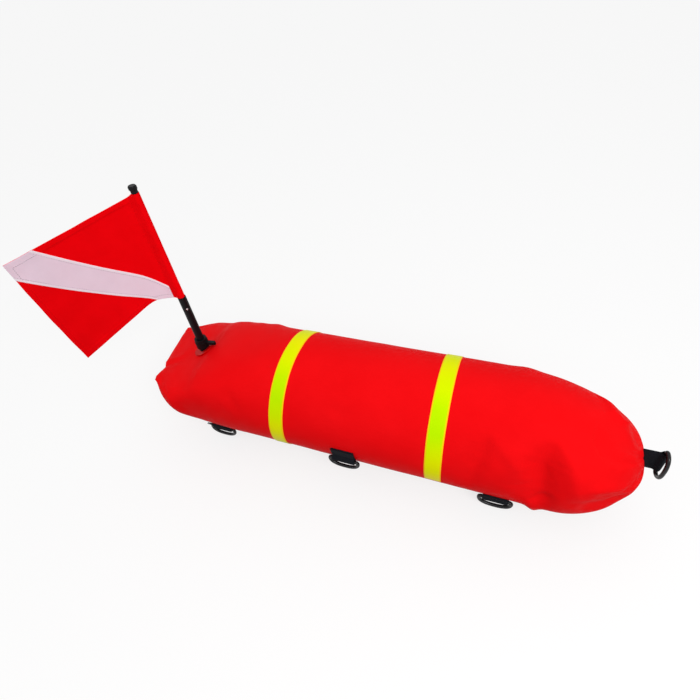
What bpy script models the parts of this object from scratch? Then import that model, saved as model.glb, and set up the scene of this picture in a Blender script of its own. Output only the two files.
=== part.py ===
"""Dive flag float: a red inflatable float with a bladder inside a sewn cover, a flag on a short pole,
reflective tape, webbing tabs with D-rings, a tow ring and an oral valve.

Units are metres and +Z is up. X runs along the float from the flag end (-X) to the tow end (+X),
and -Y is the side with the first row of D-rings. The origin lies under the float, in the middle of
the flat patch that it rests on.
"""

import math

import bmesh
import bpy
from mathutils import Matrix, Vector

# Float body
RADIUS = 0.100
AXIS_HEIGHT = 0.097
FLAG_END_X = -0.385
FLAG_CAP = 0.265
SEAM_SLANT = 0.012
TOW_END_X = 0.4146
SIDES = 36
# The tow end's cap is longest on one side, at this angle from +Y over the top, and shortest opposite.
TOW_CAP = 0.154
TOW_CAP_SWAY = 0.041
TOW_CAP_TURN = 24.0
TOW_DOME_POWER = 2.07
TOW_CAP_SHARES = (0.0, 0.22, 0.40, 0.56, 0.70, 0.82, 0.91, 0.97, 0.997)
# One row for each station of the flag end's cap: how far along the cap it lies, then its half width,
# top, bottom and widest level as shares of the radius, and how square its upper half is.
FLAG_CAP_SHARES = (
    (0.0, 0.70, 0.236, 0.196, 0.216, 2.6),
    (0.035, 0.75, 0.285, -0.04, 0.206, 2.6),
    (0.08, 0.85, 0.325, -0.24, 0.14, 2.8),
    (0.14, 0.94, 0.375, -0.51, 0.12, 3.0),
    (0.22, 1.01, 0.42, -0.80, 0.09, 3.2),
    (0.32, 0.995, 0.507, -0.98, 0.06, 3.4),
    (0.42, 0.995, 0.65, -1.0, 0.03, 3.3),
    (0.55, 1.0, 0.76, -1.0, 0.01, 3.0),
    (0.70, 1.0, 0.85, -1.0, 0.0, 2.6),
    (0.85, 1.0, 0.94, -1.0, 0.0, 2.2),
    (1.0, 1.0, 1.0, -1.0, 0.0, 2.0),
)
BLADDER_SKIPPED_STEPS = 2
BLADDER_SIDE_STEPS = 2

# Skins, from the outside in
COVER_WALL = 0.0010
BLADDER_GAP = 0.0005
BLADDER_WALL = 0.0008
SEAT_GAP = 0.0003
OVERRUN = 0.020

# Reflective tape
TAPE_WIDTH = 0.025
TAPE_THICKNESS = 0.0006
TAPE_FLAG_X = -0.117
TAPE_TOW_X = 0.136
TAPE_FLAG_STEPS = 13
TAPE_TOW_STEPS = 11

# Webbing tabs and their D-rings
TAB_XS = (-0.261, -0.004, 0.232)
TAB_ANGLES = (44.0, 18.0, 40.0)
WEBBING = 0.0016
TAB_WIDTH = 0.038
TAB_PAD = 0.025
TAB_PAD_STEPS = 4
LOOP_SIDES = 20
BAR_CLEARANCE = 0.0004
RING_ROD = 0.0029
RING_HALF_WIDTH = 0.024
RING_DEPTH = 0.018
RING_CORNER = 0.0035
BOW_POWER = 2.4
BOW_STEPS = 14

# Tow tab and ring
TOW_TAB_LENGTH = 0.022
TOW_TAB_RISE = 0.005
TOW_RING_TURN = -85.0

# Pole socket
SOCKET_X = -0.3035
FLANGE_RADIUS = 0.019
FLANGE_THICKNESS = 0.0025
STEM_RADIUS = 0.0085
STEM_HEIGHT = 0.016
STEM_DEPTH = 0.035
STEM_FLOOR = 0.003
BORE_CLEARANCE = 0.00035
GLAND_HEIGHT = 0.005
COLLAR_RADIUS = 0.0115
COLLAR_HEIGHT = 0.018
COLLAR_SKIRT = 0.006
COLLAR_NECK_RADIUS = 0.0105
COLLAR_NECK = 0.005
LEVER_REACH = 0.027
LEVER_WIDTH = 0.006
LEVER_LOW = 0.0155
LEVER_HEIGHT = 0.0055
LEVER_TURN = 8.0

# Pole
TUBE_RADIUS = 0.00675
TUBE_WALL = 0.0023
ROD_RADIUS = 0.0040
ROD_OVERLAP = 0.050
TUBE_BELOW_FLAG = 0.0003
ROD_ABOVE_FLAG = 0.0069
RIVET_DEPTH = 0.0213
RIVET_RADIUS = 0.0010
RIVET_HEAD_RADIUS = 0.0017
RIVET_HEAD = 0.0008
RIVET_TURN = 48.0
KNOB_RADIUS = 0.0060
KNOB_HEIGHT = 0.0105
KNOB_BORE_DEPTH = 0.0065

# Flag
FLAG_BOTTOM_Z = 0.2676
FLAG_HEIGHT = 0.179
FLAG_WIDTH = 0.202
FLAG_THICKNESS = 0.0008
SLEEVE_RADIUS = 0.0056
SLEEVE_WALL = 0.0009
BAND_THICKNESS = 0.0005
# Where the white band's edges cross the flag's own edges, as shares of its width or height
BAND_HOIST_SHARE = 0.065
BAND_BOTTOM_SHARE = 0.185
BAND_FLY_SHARE = 0.87
BAND_TOP_SHARE = 0.785
# Directions in which the cloth runs, in degrees: swing round the pole from -X towards -Y, and
# droop below level. The first of each pair is the lower edge's and the second the upper edge's.
HOIST_SWINGS = (31.6, 40.7)
HOIST_DROOPS = (-8.2, 14.7)
FLY_SWINGS = (38.5, 44.2)
FLY_DROOPS = (28.2, 13.5)
FOLD_SHARE = 0.196
FOLD_SOFTNESS_SHARE = 0.03
FLAG_COLUMN_SHARES = (0.06, 0.11, 0.14, 0.165, 0.185, 0.205, 0.23, 0.26, 0.30, 0.42, 0.60, 0.80, 1.0)
FLAG_ROWS = 10
BAND_ROWS = 4
CLOTH_STEPS = 40

# Oral valve
VALVE_X = 0.050
VALVE_ANGLE = 4.0
VALVE_FLANGE_RADIUS = 0.015
VALVE_FLANGE_THICKNESS = 0.0020
VALVE_STEM_RADIUS = 0.0075
VALVE_BORE_RADIUS = 0.0050
VALVE_STEM_IN = 0.010
VALVE_STEM_OUT = 0.008
MOUTHPIECE_BORE_RADIUS = 0.0025
MOUTHPIECE_OUT = 0.021
MOUTHPIECE_LIP_RADIUS = 0.0062
MOUTHPIECE_LIP = 0.0025
LOCK_RING_RADIUS = 0.0090
LOCK_RING_HEIGHT = 0.0045
FLAP_RADIUS = 0.0070
FLAP_THICKNESS = 0.0010

FINE = 32


def clear_scene():
    for obj in list(bpy.data.objects):
        bpy.data.objects.remove(obj, do_unlink=True)


def material(name, colour, roughness, metallic=0.0):
    made = bpy.data.materials.new(name)
    made.use_nodes = True
    shader = made.node_tree.nodes["Principled BSDF"]
    shader.inputs["Base Color"].default_value = (*colour, 1.0)
    shader.inputs["Roughness"].default_value = roughness
    shader.inputs["Metallic"].default_value = metallic
    made.diffuse_color = (*colour, 1.0)
    return made


def add_object(name, data, look):
    obj = bpy.data.objects.new(name, data)
    bpy.context.collection.objects.link(obj)
    data.materials.append(look)
    return obj


def add_mesh(name, bm, look, smooth=True):
    bmesh.ops.recalc_face_normals(bm, faces=bm.faces)
    mesh = bpy.data.meshes.new(name)
    bm.to_mesh(mesh)
    bm.free()
    obj = add_object(name, mesh, look)
    if smooth:
        mesh.shade_smooth()
        mesh.set_sharp_from_angle(angle=math.radians(35))
    return obj


def hide(obj):
    obj.hide_render = True
    obj.display_type = "WIRE"
    return obj


def boolean(obj, cutter, operation="DIFFERENCE"):
    modifier = obj.modifiers.new(f"{operation.lower()} {cutter.name}", "BOOLEAN")
    modifier.operation = operation
    modifier.solver = "EXACT"
    modifier.object = cutter


def between(low, high, share):
    return low + (high - low) * share


def power(value, exponent):
    return math.copysign(abs(value) ** exponent, value)


def cap_share(x):
    """How far along the flag end's cap x lies, from 0 at its seam to 1 where the round body starts."""
    return min(max((x - FLAG_END_X) / FLAG_CAP, 0.0), 1.0)


def section(x):
    """Half width, top, bottom and widest level at x as shares of the radius, and upper squareness."""
    share = cap_share(x)
    for low, high in zip(FLAG_CAP_SHARES, FLAG_CAP_SHARES[1:]):
        if share <= high[0]:
            break
    along = (share - low[0]) / (high[0] - low[0])
    return [between(a, b, along) for a, b in zip(low[1:], high[1:])]


def section_size(x, degrees):
    """Radius that the shares are of, at x and at an angle from +Y over the top."""
    cap = TOW_CAP + TOW_CAP_SWAY * math.cos(math.radians(degrees - TOW_CAP_TURN))
    dome = min(max((x - TOW_END_X + cap) / cap, 0.0), 1.0)
    return RADIUS * (1.0 - dome**TOW_DOME_POWER) ** (1.0 / TOW_DOME_POWER)


def skin_point(x, degrees, inset=0.0):
    """Point of the float's skin at a station and an angle from +Y over the top, this far inside it."""
    size = section_size(x, degrees)
    *shares, square = section(x)
    half_width, top, bottom, middle = (size * share for share in shares)
    across = math.cos(math.radians(degrees))
    rise = math.sin(math.radians(degrees))
    exponent = 2.0 / (square if rise > 0 else 2.0)
    height = top - inset - middle if rise > 0 else middle - bottom - inset
    across = power(across, exponent)
    slant = SEAM_SLANT * across * (1.0 - cap_share(x)) ** 3
    z = AXIS_HEIGHT + middle + height * power(rise, exponent)
    return x - slant, (half_width - inset) * across, max(z, inset)


def stations():
    """Places along the float where its skin has a ring of points."""
    places = [FLAG_END_X + FLAG_CAP * row[0] for row in FLAG_CAP_SHARES]
    for centre in (TAPE_FLAG_X, TAPE_TOW_X):
        places += [centre - TAPE_WIDTH / 2, centre + TAPE_WIDTH / 2]
    longest = TOW_CAP + TOW_CAP_SWAY
    places += [TOW_END_X - longest * (1.0 - share) for share in TOW_CAP_SHARES]
    return sorted(places)


def skin(name, look, inset, first=0, step=1):
    """Closed solid this far inside the float's skin all over, on its stations from the first one given."""
    middle = (FLAG_END_X + TOW_END_X) / 2
    squeeze = 1.0 - inset / ((TOW_END_X - FLAG_END_X) / 2)
    bm = bmesh.new()
    rings = []
    for station in stations()[first:]:
        ring = []
        for side in range(0, SIDES, step):
            x, y, z = skin_point(station, 360.0 * side / SIDES, inset)
            ring.append(bm.verts.new((middle + (x - middle) * squeeze, y, z)))
        rings.append(ring)
    for low, high in zip(rings, rings[1:]):
        for side in range(len(low)):
            after = (side + 1) % len(low)
            bm.faces.new((low[side], low[after], high[after], high[side]))
    bm.faces.new(rings[0])
    bm.faces.new(rings[-1])
    split_squares(bm)
    return add_mesh(name, bm, look)


def split_squares(bm):
    """Cuts every face along the same diagonal, so that skins on the same grid stay parallel."""
    bmesh.ops.triangulate(bm, faces=bm.faces, quad_method="FIXED", ngon_method="BEAUTY")


def add_face(bm, corners):
    corners = list(dict.fromkeys(corners))
    if len(corners) > 2:
        bm.faces.new(corners)


def row_of_points(bm, row):
    """Mesh points for a row of places, with those that coincide made one."""
    made = {}
    for place in row:
        if tuple(place) not in made:
            made[tuple(place)] = bm.verts.new(place)
    return [made[tuple(place)] for place in row]


def sheet_solid(name, look, inner, outer):
    """Solid between two grids of places with the same rows and columns."""
    bm = bmesh.new()
    near = [row_of_points(bm, row) for row in inner]
    far = [row_of_points(bm, row) for row in outer]
    rows = range(len(near) - 1)
    columns = range(len(near[0]) - 1)
    for grid in (near, far):
        for low, high in zip(grid, grid[1:]):
            for a in columns:
                add_face(bm, (low[a], low[a + 1], high[a + 1], high[a]))
    for column in (0, -1):
        for a in rows:
            add_face(bm, (near[a][column], near[a + 1][column], far[a + 1][column], far[a][column]))
    for row in (0, -1):
        for a in columns:
            add_face(bm, (near[row][a], near[row][a + 1], far[row][a + 1], far[row][a]))
    split_squares(bm)
    return add_mesh(name, bm, look)


def turned(name, profile, look, place, sides=FINE):
    """Solid of revolution about a local Z axis, from a closed outline of (radius, height) points."""
    bm = bmesh.new()
    rings = []
    for radius, height in profile:
        if radius == 0.0:
            rings.append([bm.verts.new((0.0, 0.0, height))])
            continue
        angles = [2 * math.pi * side / sides for side in range(sides)]
        rings.append([bm.verts.new((radius * math.cos(a), radius * math.sin(a), height)) for a in angles])
    for low, high in zip(rings, rings[1:] + rings[:1]):
        for side in range(sides):
            after = (side + 1) % sides
            corners = [low[side % len(low)], low[after % len(low)]]
            corners += [high[after % len(high)], high[side % len(high)]]
            corners = list(dict.fromkeys(corners))
            if len(corners) > 2:
                bm.faces.new(corners)
    obj = add_mesh(name, bm, look)
    obj.matrix_world = place
    return obj


def cylinder(name, radius, low, high, place, look, sides=FINE):
    return turned(name, [(0.0, low), (radius, low), (radius, high), (0.0, high)], look, place, sides)


def tube(name, outer, inner, low, high, place, look, sides=FINE):
    outline = [(outer, high), (inner, high), (inner, low), (outer, low)]
    return turned(name, outline, look, place, sides)


def extruded(name, outline, low, high, place, look):
    """Solid between two copies of a flat outline in local XY."""
    bm = bmesh.new()
    base = bm.faces.new([bm.verts.new((x, y, low)) for x, y in outline])
    grown = bmesh.ops.extrude_face_region(bm, geom=[base])
    moved = [item for item in grown["geom"] if isinstance(item, bmesh.types.BMVert)]
    bmesh.ops.translate(bm, verts=moved, vec=(0.0, 0.0, high - low))
    obj = add_mesh(name, bm, look)
    obj.matrix_world = place
    return obj


def arc(centre, radius, start, stop, steps):
    """Points of an arc in degrees, both ends included."""
    angles = [math.radians(between(start, stop, step / steps)) for step in range(steps + 1)]
    return [(centre[0] + radius * math.cos(a), centre[1] + radius * math.sin(a)) for a in angles]


def upright(x, y, z):
    return Matrix.Translation((x, y, z))


# Float body


def socket_height():
    """Height of the float's skin where the pole socket passes through it."""
    return skin_point(SOCKET_X, 90.0)[2]


def valve_place():
    """Local Z axis along the valve, with its origin on the cover's surface."""
    angle = math.radians(VALVE_ANGLE)
    outward = Vector((0.0, math.cos(angle), math.sin(angle)))
    centre = Vector((VALVE_X, 0.0, AXIS_HEIGHT)) + outward * RADIUS
    return Matrix.Translation(centre) @ outward.to_track_quat("Z", "Y").to_matrix().to_4x4()


def float_body(looks):
    guide = looks["guide"]
    socket_axis = upright(SOCKET_X, 0.0, socket_height())
    valve_axis = valve_place()
    cover = skin("cover", looks["red_nylon"], 0.0)
    hollow = hide(skin("cover_hollow", guide, COVER_WALL))
    hole = STEM_RADIUS + SEAT_GAP
    socket_hole = hide(cylinder("socket_hole", hole, -OVERRUN, OVERRUN, socket_axis, guide))
    hole = VALVE_STEM_RADIUS + SEAT_GAP
    valve_hole = hide(cylinder("valve_hole", hole, -OVERRUN, OVERRUN, valve_axis, guide))
    for cutter in (hollow, socket_hole, valve_hole):
        boolean(cover, cutter)

    inset = COVER_WALL + BLADDER_GAP
    layout = (BLADDER_SKIPPED_STEPS, BLADDER_SIDE_STEPS)
    bladder = skin("air_bladder", looks["bladder_film"], inset, *layout)
    room = hide(skin("bladder_room", guide, inset + BLADDER_WALL, *layout))
    pocket = STEM_RADIUS + BLADDER_GAP
    low = -STEM_DEPTH - BLADDER_GAP
    pocket_hole = hide(cylinder("pocket_hole", pocket, low, OVERRUN, socket_axis, guide))
    pocket += BLADDER_WALL
    low -= BLADDER_WALL
    pocket_wall = hide(cylinder("pocket_wall", pocket, low, OVERRUN, socket_axis, guide))
    boolean(room, pocket_wall)
    for cutter in (room, pocket_hole, valve_hole):
        boolean(bladder, cutter)


def shell_piece(name, look, xs, angles, low, high):
    """Piece of sheet on the cover, between two heights above it, at these places and angles."""
    inner = [[skin_point(x, angle, -low) for angle in angles] for x in xs]
    outer = [[skin_point(x, angle, -high) for angle in angles] for x in xs]
    return sheet_solid(name, look, inner, outer)


def places_between(low, high):
    return [low] + [x for x in stations() if low < x < high] + [high]


def tape(name, centre, steps_down, look):
    """Band of tape over the top, on the same points as the cover under it."""
    top = SIDES // 4
    angles = [360.0 * side / SIDES for side in range(top - steps_down, top + steps_down + 1)]
    xs = places_between(centre - TAPE_WIDTH / 2, centre + TAPE_WIDTH / 2)
    shell_piece(name, look, xs, angles, SEAT_GAP, SEAT_GAP + TAPE_THICKNESS)


# Webbing tabs and D-rings


def loop_radius():
    return RING_ROD + BAR_CLEARANCE + WEBBING


def outward_at(angle, side):
    """Unit vector away from the float's axis, this many degrees below level on one side."""
    down = math.radians(angle)
    return Vector((0.0, side * math.cos(down), -math.sin(down)))


def bar_centre(x, angle, side):
    reach = RADIUS + SEAT_GAP + loop_radius()
    return Vector((x, 0.0, AXIS_HEIGHT)) + outward_at(angle, side) * reach


def side_tab(name, x, angle, side, looks):
    """Doubled webbing on the cover that ends in a loop round the ring's bar."""
    half = TAB_WIDTH / 2
    xs = places_between(x - half, x + half)
    up = math.degrees(TAB_PAD / RADIUS)
    below = [angle - up * step / TAB_PAD_STEPS for step in range(TAB_PAD_STEPS + 1)]
    angles = [-down if side > 0 else 180.0 + down for down in below]
    tab = shell_piece(name, looks["webbing"], xs, angles, SEAT_GAP, SEAT_GAP + 2 * WEBBING)
    place = Matrix.Translation(bar_centre(x, angle, side)) @ Matrix.Rotation(math.radians(90.0), 4, "Y")
    radius = loop_radius()
    loop = hide(cylinder(f"{name}_loop", radius, -half, half, place, looks["guide"], LOOP_SIDES))
    bore = RING_ROD + BAR_CLEARANCE
    reach = half + OVERRUN
    hole = hide(cylinder(f"{name}_hole", bore, -reach, reach, place, looks["guide"], LOOP_SIDES))
    boolean(tab, loop, "UNION")
    boolean(tab, hole)


def ring_path():
    """Centre line of a D-ring in local XZ: its straight bar lies on the X axis and its bow hangs below."""
    corner = RING_CORNER
    straight = RING_HALF_WIDTH - corner
    right = arc((straight, -corner), corner, 90.0, 0.0, 2)
    left = arc((-straight, -corner), corner, 180.0, 90.0, 2)
    bow = []
    for step in range(1, BOW_STEPS):
        angle = math.pi * step / BOW_STEPS
        x = RING_HALF_WIDTH * power(math.cos(angle), 2.0 / BOW_POWER)
        z = -corner - (RING_DEPTH - corner) * power(math.sin(angle), 2.0 / BOW_POWER)
        bow.append((x, z))
    return right + bow + left


def d_ring(name, place, look):
    path = ring_path()
    curve = bpy.data.curves.new(name, "CURVE")
    curve.dimensions = "3D"
    curve.bevel_depth = RING_ROD
    curve.bevel_resolution = 2
    spline = curve.splines.new("POLY")
    spline.points.add(len(path) - 1)
    for point, (x, z) in zip(spline.points, path):
        point.co = (x, 0.0, z, 1.0)
    spline.use_cyclic_u = True
    ring = add_object(name, curve, look)
    ring.matrix_world = place


def side_tabs(looks):
    for side_name, side in (("near", -1.0), ("far", 1.0)):
        for number, (x, angle) in enumerate(zip(TAB_XS, TAB_ANGLES), 1):
            side_tab(f"{side_name}_tab_{number}", x, angle, side, looks)
            place = Matrix.Translation(bar_centre(x, angle, side))
            d_ring(f"{side_name}_ring_{number}", place, looks["ring_plastic"])


def tow_face_x():
    """Where the tow tab starts, just off the flat middle of the dome."""
    return stations()[-1] + SEAT_GAP


def tow_bar_x():
    return tow_face_x() + TOW_TAB_LENGTH


def tow_tab(looks):
    """Doubled webbing on edge, from the middle of the dome to its loop round the ring's bar."""
    guide = looks["guide"]
    stand = upright(tow_bar_x(), 0.0, AXIS_HEIGHT + TOW_TAB_RISE)
    half = TAB_WIDTH / 2
    tab = cylinder("tow_tab", loop_radius(), -half, half, stand, looks["webbing"], LOOP_SIDES)
    root = -TOW_TAB_LENGTH - OVERRUN
    outline = [(root, -WEBBING), (0.0, -WEBBING), (0.0, WEBBING), (root, WEBBING)]
    strap = hide(extruded("tow_strap", outline, -half, half, stand, guide))
    bore = RING_ROD + BAR_CLEARANCE
    reach = half + OVERRUN
    hole = hide(cylinder("tow_hole", bore, -reach, reach, stand, guide, LOOP_SIDES))
    seat = hide(skin("tow_seat", guide, -SEAT_GAP))
    boolean(tab, strap, "UNION")
    boolean(tab, hole)
    boolean(tab, seat)
    turn = Matrix.Rotation(math.radians(TOW_RING_TURN), 4, "Z")
    turn = turn @ Matrix.Rotation(math.radians(-90.0), 4, "Y")
    d_ring("tow_ring", stand @ turn, looks["ring_plastic"])


# Pole socket, in heights above the cover where the pole stands


def socket(looks):
    place = upright(SOCKET_X, 0.0, socket_height())
    bore = TUBE_RADIUS + BORE_CLEARANCE
    flange = cylinder("socket_flange", FLANGE_RADIUS, -OVERRUN, OVERRUN, place, looks["red_plastic"])
    seat = hide(skin("flange_seat", looks["guide"], -SEAT_GAP))
    face = hide(skin("flange_face", looks["guide"], -SEAT_GAP - FLANGE_THICKNESS))
    hole = STEM_RADIUS + SEAT_GAP
    through = hide(cylinder("flange_hole", hole, -2 * OVERRUN, 2 * OVERRUN, place, looks["guide"]))
    boolean(flange, face, "INTERSECT")
    boolean(flange, seat)
    boolean(flange, through)

    low = -STEM_DEPTH
    stem = [(0.0, low), (STEM_RADIUS, low), (STEM_RADIUS, STEM_HEIGHT), (bore, STEM_HEIGHT)]
    stem += [(bore, low + STEM_FLOOR), (0.0, low + STEM_FLOOR)]
    turned("socket_stem", stem, looks["black_plastic"], place)

    gland = STEM_HEIGHT + SEAT_GAP
    tube("gland_ring", STEM_RADIUS, bore, gland, gland + GLAND_HEIGHT, place, looks["black_rubber"])
    lock_collar(looks, bore, gland + GLAND_HEIGHT + SEAT_GAP)


def lock_collar(looks, bore, ceiling):
    """Collar with a lever, which turns on the stem and squeezes the gland ring round the pole."""
    place = upright(SOCKET_X, 0.0, socket_height())
    low = STEM_HEIGHT - COLLAR_SKIRT
    high = low + COLLAR_HEIGHT
    inner = STEM_RADIUS + SEAT_GAP
    neck = high - COLLAR_NECK
    profile = [(COLLAR_RADIUS, neck), (COLLAR_NECK_RADIUS, neck), (COLLAR_NECK_RADIUS, high), (bore, high)]
    profile += [(bore, ceiling), (inner, ceiling), (inner, low), (COLLAR_RADIUS, low)]
    collar = turned("lock_collar", profile, looks["black_plastic"], place)
    turn = place @ Matrix.Rotation(math.radians(LEVER_TURN), 4, "Z")
    tip = LEVER_WIDTH / 2
    root = (COLLAR_RADIUS + inner) / 2
    outline = [(root, -tip)] + arc((LEVER_REACH - tip, 0.0), tip, -90.0, 90.0, 8) + [(root, tip)]
    lever = hide(extruded("lever", outline, LEVER_LOW, LEVER_LOW + LEVER_HEIGHT, turn, looks["guide"]))
    boolean(collar, lever, "UNION")


# Pole


def pole(looks):
    base = socket_height() - STEM_DEPTH + STEM_FLOOR + SEAT_GAP
    place = upright(SOCKET_X, 0.0, 0.0)
    inside = TUBE_RADIUS - TUBE_WALL
    tube_top = FLAG_BOTTOM_Z - TUBE_BELOW_FLAG
    rod_low = tube_top - ROD_OVERLAP
    rod_top = FLAG_BOTTOM_Z + FLAG_HEIGHT + ROD_ABOVE_FLAG
    lower = tube("pole_tube", TUBE_RADIUS, inside, base, tube_top, place, looks["black_fibre"])
    upper = cylinder("pole_rod", ROD_RADIUS, rod_low, rod_top, place, looks["black_fibre"])
    away = math.radians(RIVET_TURN)
    across = Vector((math.sin(away), -math.cos(away), 0.0))
    turn = across.to_track_quat("Z", "Y").to_matrix().to_4x4()
    stand = upright(SOCKET_X, 0.0, tube_top - RIVET_DEPTH) @ turn
    clear = RIVET_RADIUS + SEAT_GAP
    drill = hide(cylinder("rivet_hole", clear, -OVERRUN, OVERRUN, stand, looks["guide"], 16))
    boolean(lower, drill)
    boolean(upper, drill)
    end = TUBE_RADIUS + SEAT_GAP
    rivet = [(0.0, -end - RIVET_HEAD), (RIVET_HEAD_RADIUS, -end - RIVET_HEAD), (RIVET_HEAD_RADIUS, -end)]
    rivet += [(RIVET_RADIUS, -end), (RIVET_RADIUS, end), (RIVET_HEAD_RADIUS, end)]
    rivet += [(RIVET_HEAD_RADIUS, end + RIVET_HEAD), (0.0, end + RIVET_HEAD)]
    turned("pole_rivet", rivet, looks["bright_steel"], stand, 16)

    low = rod_top - KNOB_BORE_DEPTH
    bore = ROD_RADIUS + SEAT_GAP
    ceiling = rod_top + SEAT_GAP
    high = low + KNOB_HEIGHT
    waist = between(ROD_RADIUS, KNOB_RADIUS, 0.5)
    knob = [(waist, low), (waist, between(low, high, 0.4)), (KNOB_RADIUS, between(low, high, 0.5))]
    knob += [(KNOB_RADIUS, between(low, high, 0.85)), (waist, high), (0.0, high)]
    knob += [(0.0, ceiling), (bore, ceiling), (bore, low)]
    turned("pole_knob", knob, looks["black_plastic"], place)


# Flag


def cloth_direction(along, up):
    """Unit vector in which the cloth runs away from the pole, at shares of its width and height."""
    hoist = 1.0 / (1.0 + math.exp((along - FOLD_SHARE) / FOLD_SOFTNESS_SHARE))
    swing = math.radians(between(between(*FLY_SWINGS, up), between(*HOIST_SWINGS, up), hoist))
    droop = math.radians(between(between(*FLY_DROOPS, up), between(*HOIST_DROOPS, up), hoist))
    level = math.cos(droop)
    return Vector((-level * math.cos(swing), -level * math.sin(swing), -math.sin(droop)))


def cloth_point(along, up):
    """Point of the cloth's middle surface, at shares of its width and height."""
    point = Vector((SOCKET_X, 0.0, FLAG_BOTTOM_Z + FLAG_HEIGHT * up))
    length = FLAG_WIDTH * along / CLOTH_STEPS
    for step in range(CLOTH_STEPS):
        point += cloth_direction(along * (step + 0.5) / CLOTH_STEPS, up) * length
    return point


def cloth_normal(along, up):
    """Unit vector off the cloth's front, which faces -Y and +X."""
    reach = 1.0 / (4 * FLAG_ROWS)
    low = cloth_point(along, max(up - reach, 0.0))
    high = cloth_point(along, min(up + reach, 1.0))
    return (high - low).cross(cloth_direction(along, up)).normalized()


def off_cloth(place, height):
    return cloth_point(*place) + cloth_normal(*place) * height


def put_origin(obj, place):
    """Moves an object's origin and leaves its shape where it is."""
    obj.data.transform(place.inverted())
    obj.matrix_world = place


def layer(name, look, grid, inside, outside):
    """Solid sheet over a grid of cloth places, between two offsets from the cloth's middle surface."""
    inner = [[off_cloth(place, inside) for place in row] for row in grid]
    outer = [[off_cloth(place, outside) for place in row] for row in grid]
    return sheet_solid(name, look, inner, outer)


def band_grid():
    """Places of the white band that crosses the flag from the lower hoist to the upper fly."""
    grid = []
    for along in FLAG_COLUMN_SHARES:
        high = BAND_HOIST_SHARE + (1.0 - BAND_HOIST_SHARE) * along / BAND_TOP_SHARE
        low = BAND_FLY_SHARE * (along - BAND_BOTTOM_SHARE) / (1.0 - BAND_BOTTOM_SHARE)
        low = max(low, 0.0)
        high = min(high, 1.0)
        grid.append([(along, between(low, high, row / BAND_ROWS)) for row in range(BAND_ROWS + 1)])
    return grid


def flag(looks):
    place = upright(SOCKET_X, 0.0, 0.0)
    half = FLAG_THICKNESS / 2
    start = (SLEEVE_RADIUS - SLEEVE_WALL / 2) / FLAG_WIDTH
    ups = [row / FLAG_ROWS for row in range(FLAG_ROWS + 1)]
    grid = [[(along, up) for up in ups] for along in (start, *FLAG_COLUMN_SHARES)]
    panel = hide(layer("flag_panel", looks["guide"], grid, -half, half))
    inside = SLEEVE_RADIUS - SLEEVE_WALL
    top = FLAG_BOTTOM_Z + FLAG_HEIGHT
    cloth = tube("flag_cloth", SLEEVE_RADIUS, inside, FLAG_BOTTOM_Z, top, place, looks["red_nylon"])
    boolean(cloth, panel, "UNION")
    near = half + SEAT_GAP
    far = near + BAND_THICKNESS
    front = layer("flag_band_front", looks["white_nylon"], band_grid(), near, far)
    back = layer("flag_band_back", looks["white_nylon"], band_grid(), -far, -near)
    for band in (front, back):
        put_origin(band, place)


# Oral valve, in heights above the cover along the valve's own axis


def valve(looks):
    place = valve_place()
    flange = cylinder("valve_flange", VALVE_FLANGE_RADIUS, -OVERRUN, OVERRUN, place, looks["black_plastic"])
    seat = hide(skin("valve_seat", looks["guide"], -SEAT_GAP))
    face = hide(skin("valve_face", looks["guide"], -SEAT_GAP - VALVE_FLANGE_THICKNESS))
    hole = VALVE_STEM_RADIUS + SEAT_GAP
    through = hide(cylinder("valve_flange_hole", hole, -2 * OVERRUN, 2 * OVERRUN, place, looks["guide"]))
    boolean(flange, face, "INTERSECT")
    boolean(flange, seat)
    boolean(flange, through)
    stem_low = -VALVE_STEM_IN
    outer = VALVE_STEM_RADIUS
    inner = VALVE_BORE_RADIUS
    tube("valve_stem", outer, inner, stem_low, VALVE_STEM_OUT, place, looks["black_plastic"])
    flap_high = stem_low - SEAT_GAP
    cylinder("valve_flap", FLAP_RADIUS, flap_high - FLAP_THICKNESS, flap_high, place, looks["black_rubber"])
    ring_low = VALVE_STEM_OUT + SEAT_GAP
    ring_high = ring_low + LOCK_RING_HEIGHT
    tube("valve_lock_ring", LOCK_RING_RADIUS, inner, ring_low, ring_high, place, looks["grey_plastic"])
    body = VALVE_BORE_RADIUS - SEAT_GAP
    lip_low = MOUTHPIECE_OUT - MOUTHPIECE_LIP
    profile = [(body, 0.0), (body, lip_low), (MOUTHPIECE_LIP_RADIUS, lip_low)]
    profile += [(MOUTHPIECE_LIP_RADIUS, MOUTHPIECE_OUT), (MOUTHPIECE_BORE_RADIUS, MOUTHPIECE_OUT)]
    profile += [(MOUTHPIECE_BORE_RADIUS, 0.0)]
    turned("valve_mouthpiece", profile, looks["black_rubber"], place)


def make_looks():
    return {
        "red_nylon": material("red_nylon", (0.80, 0.004, 0.006), 0.55),
        "white_nylon": material("white_nylon", (0.78, 0.60, 0.66), 0.55),
        "tape": material("reflective_tape", (0.62, 0.90, 0.0), 0.35),
        "webbing": material("black_webbing", (0.012, 0.012, 0.014), 0.8),
        "ring_plastic": material("ring_plastic", (0.010, 0.010, 0.011), 0.3),
        "red_plastic": material("red_plastic", (0.55, 0.003, 0.004), 0.45),
        "black_plastic": material("black_plastic", (0.012, 0.012, 0.013), 0.4),
        "black_rubber": material("black_rubber", (0.015, 0.015, 0.015), 0.7),
        "grey_plastic": material("grey_plastic", (0.10, 0.10, 0.11), 0.45),
        "black_fibre": material("black_fibre", (0.014, 0.014, 0.015), 0.35),
        "bright_steel": material("bright_steel", (0.60, 0.60, 0.60), 0.25, 1.0),
        "bladder_film": material("bladder_film", (0.25, 0.26, 0.28), 0.4),
        "guide": material("guide", (0.5, 0.5, 0.5), 0.5),
    }


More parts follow.
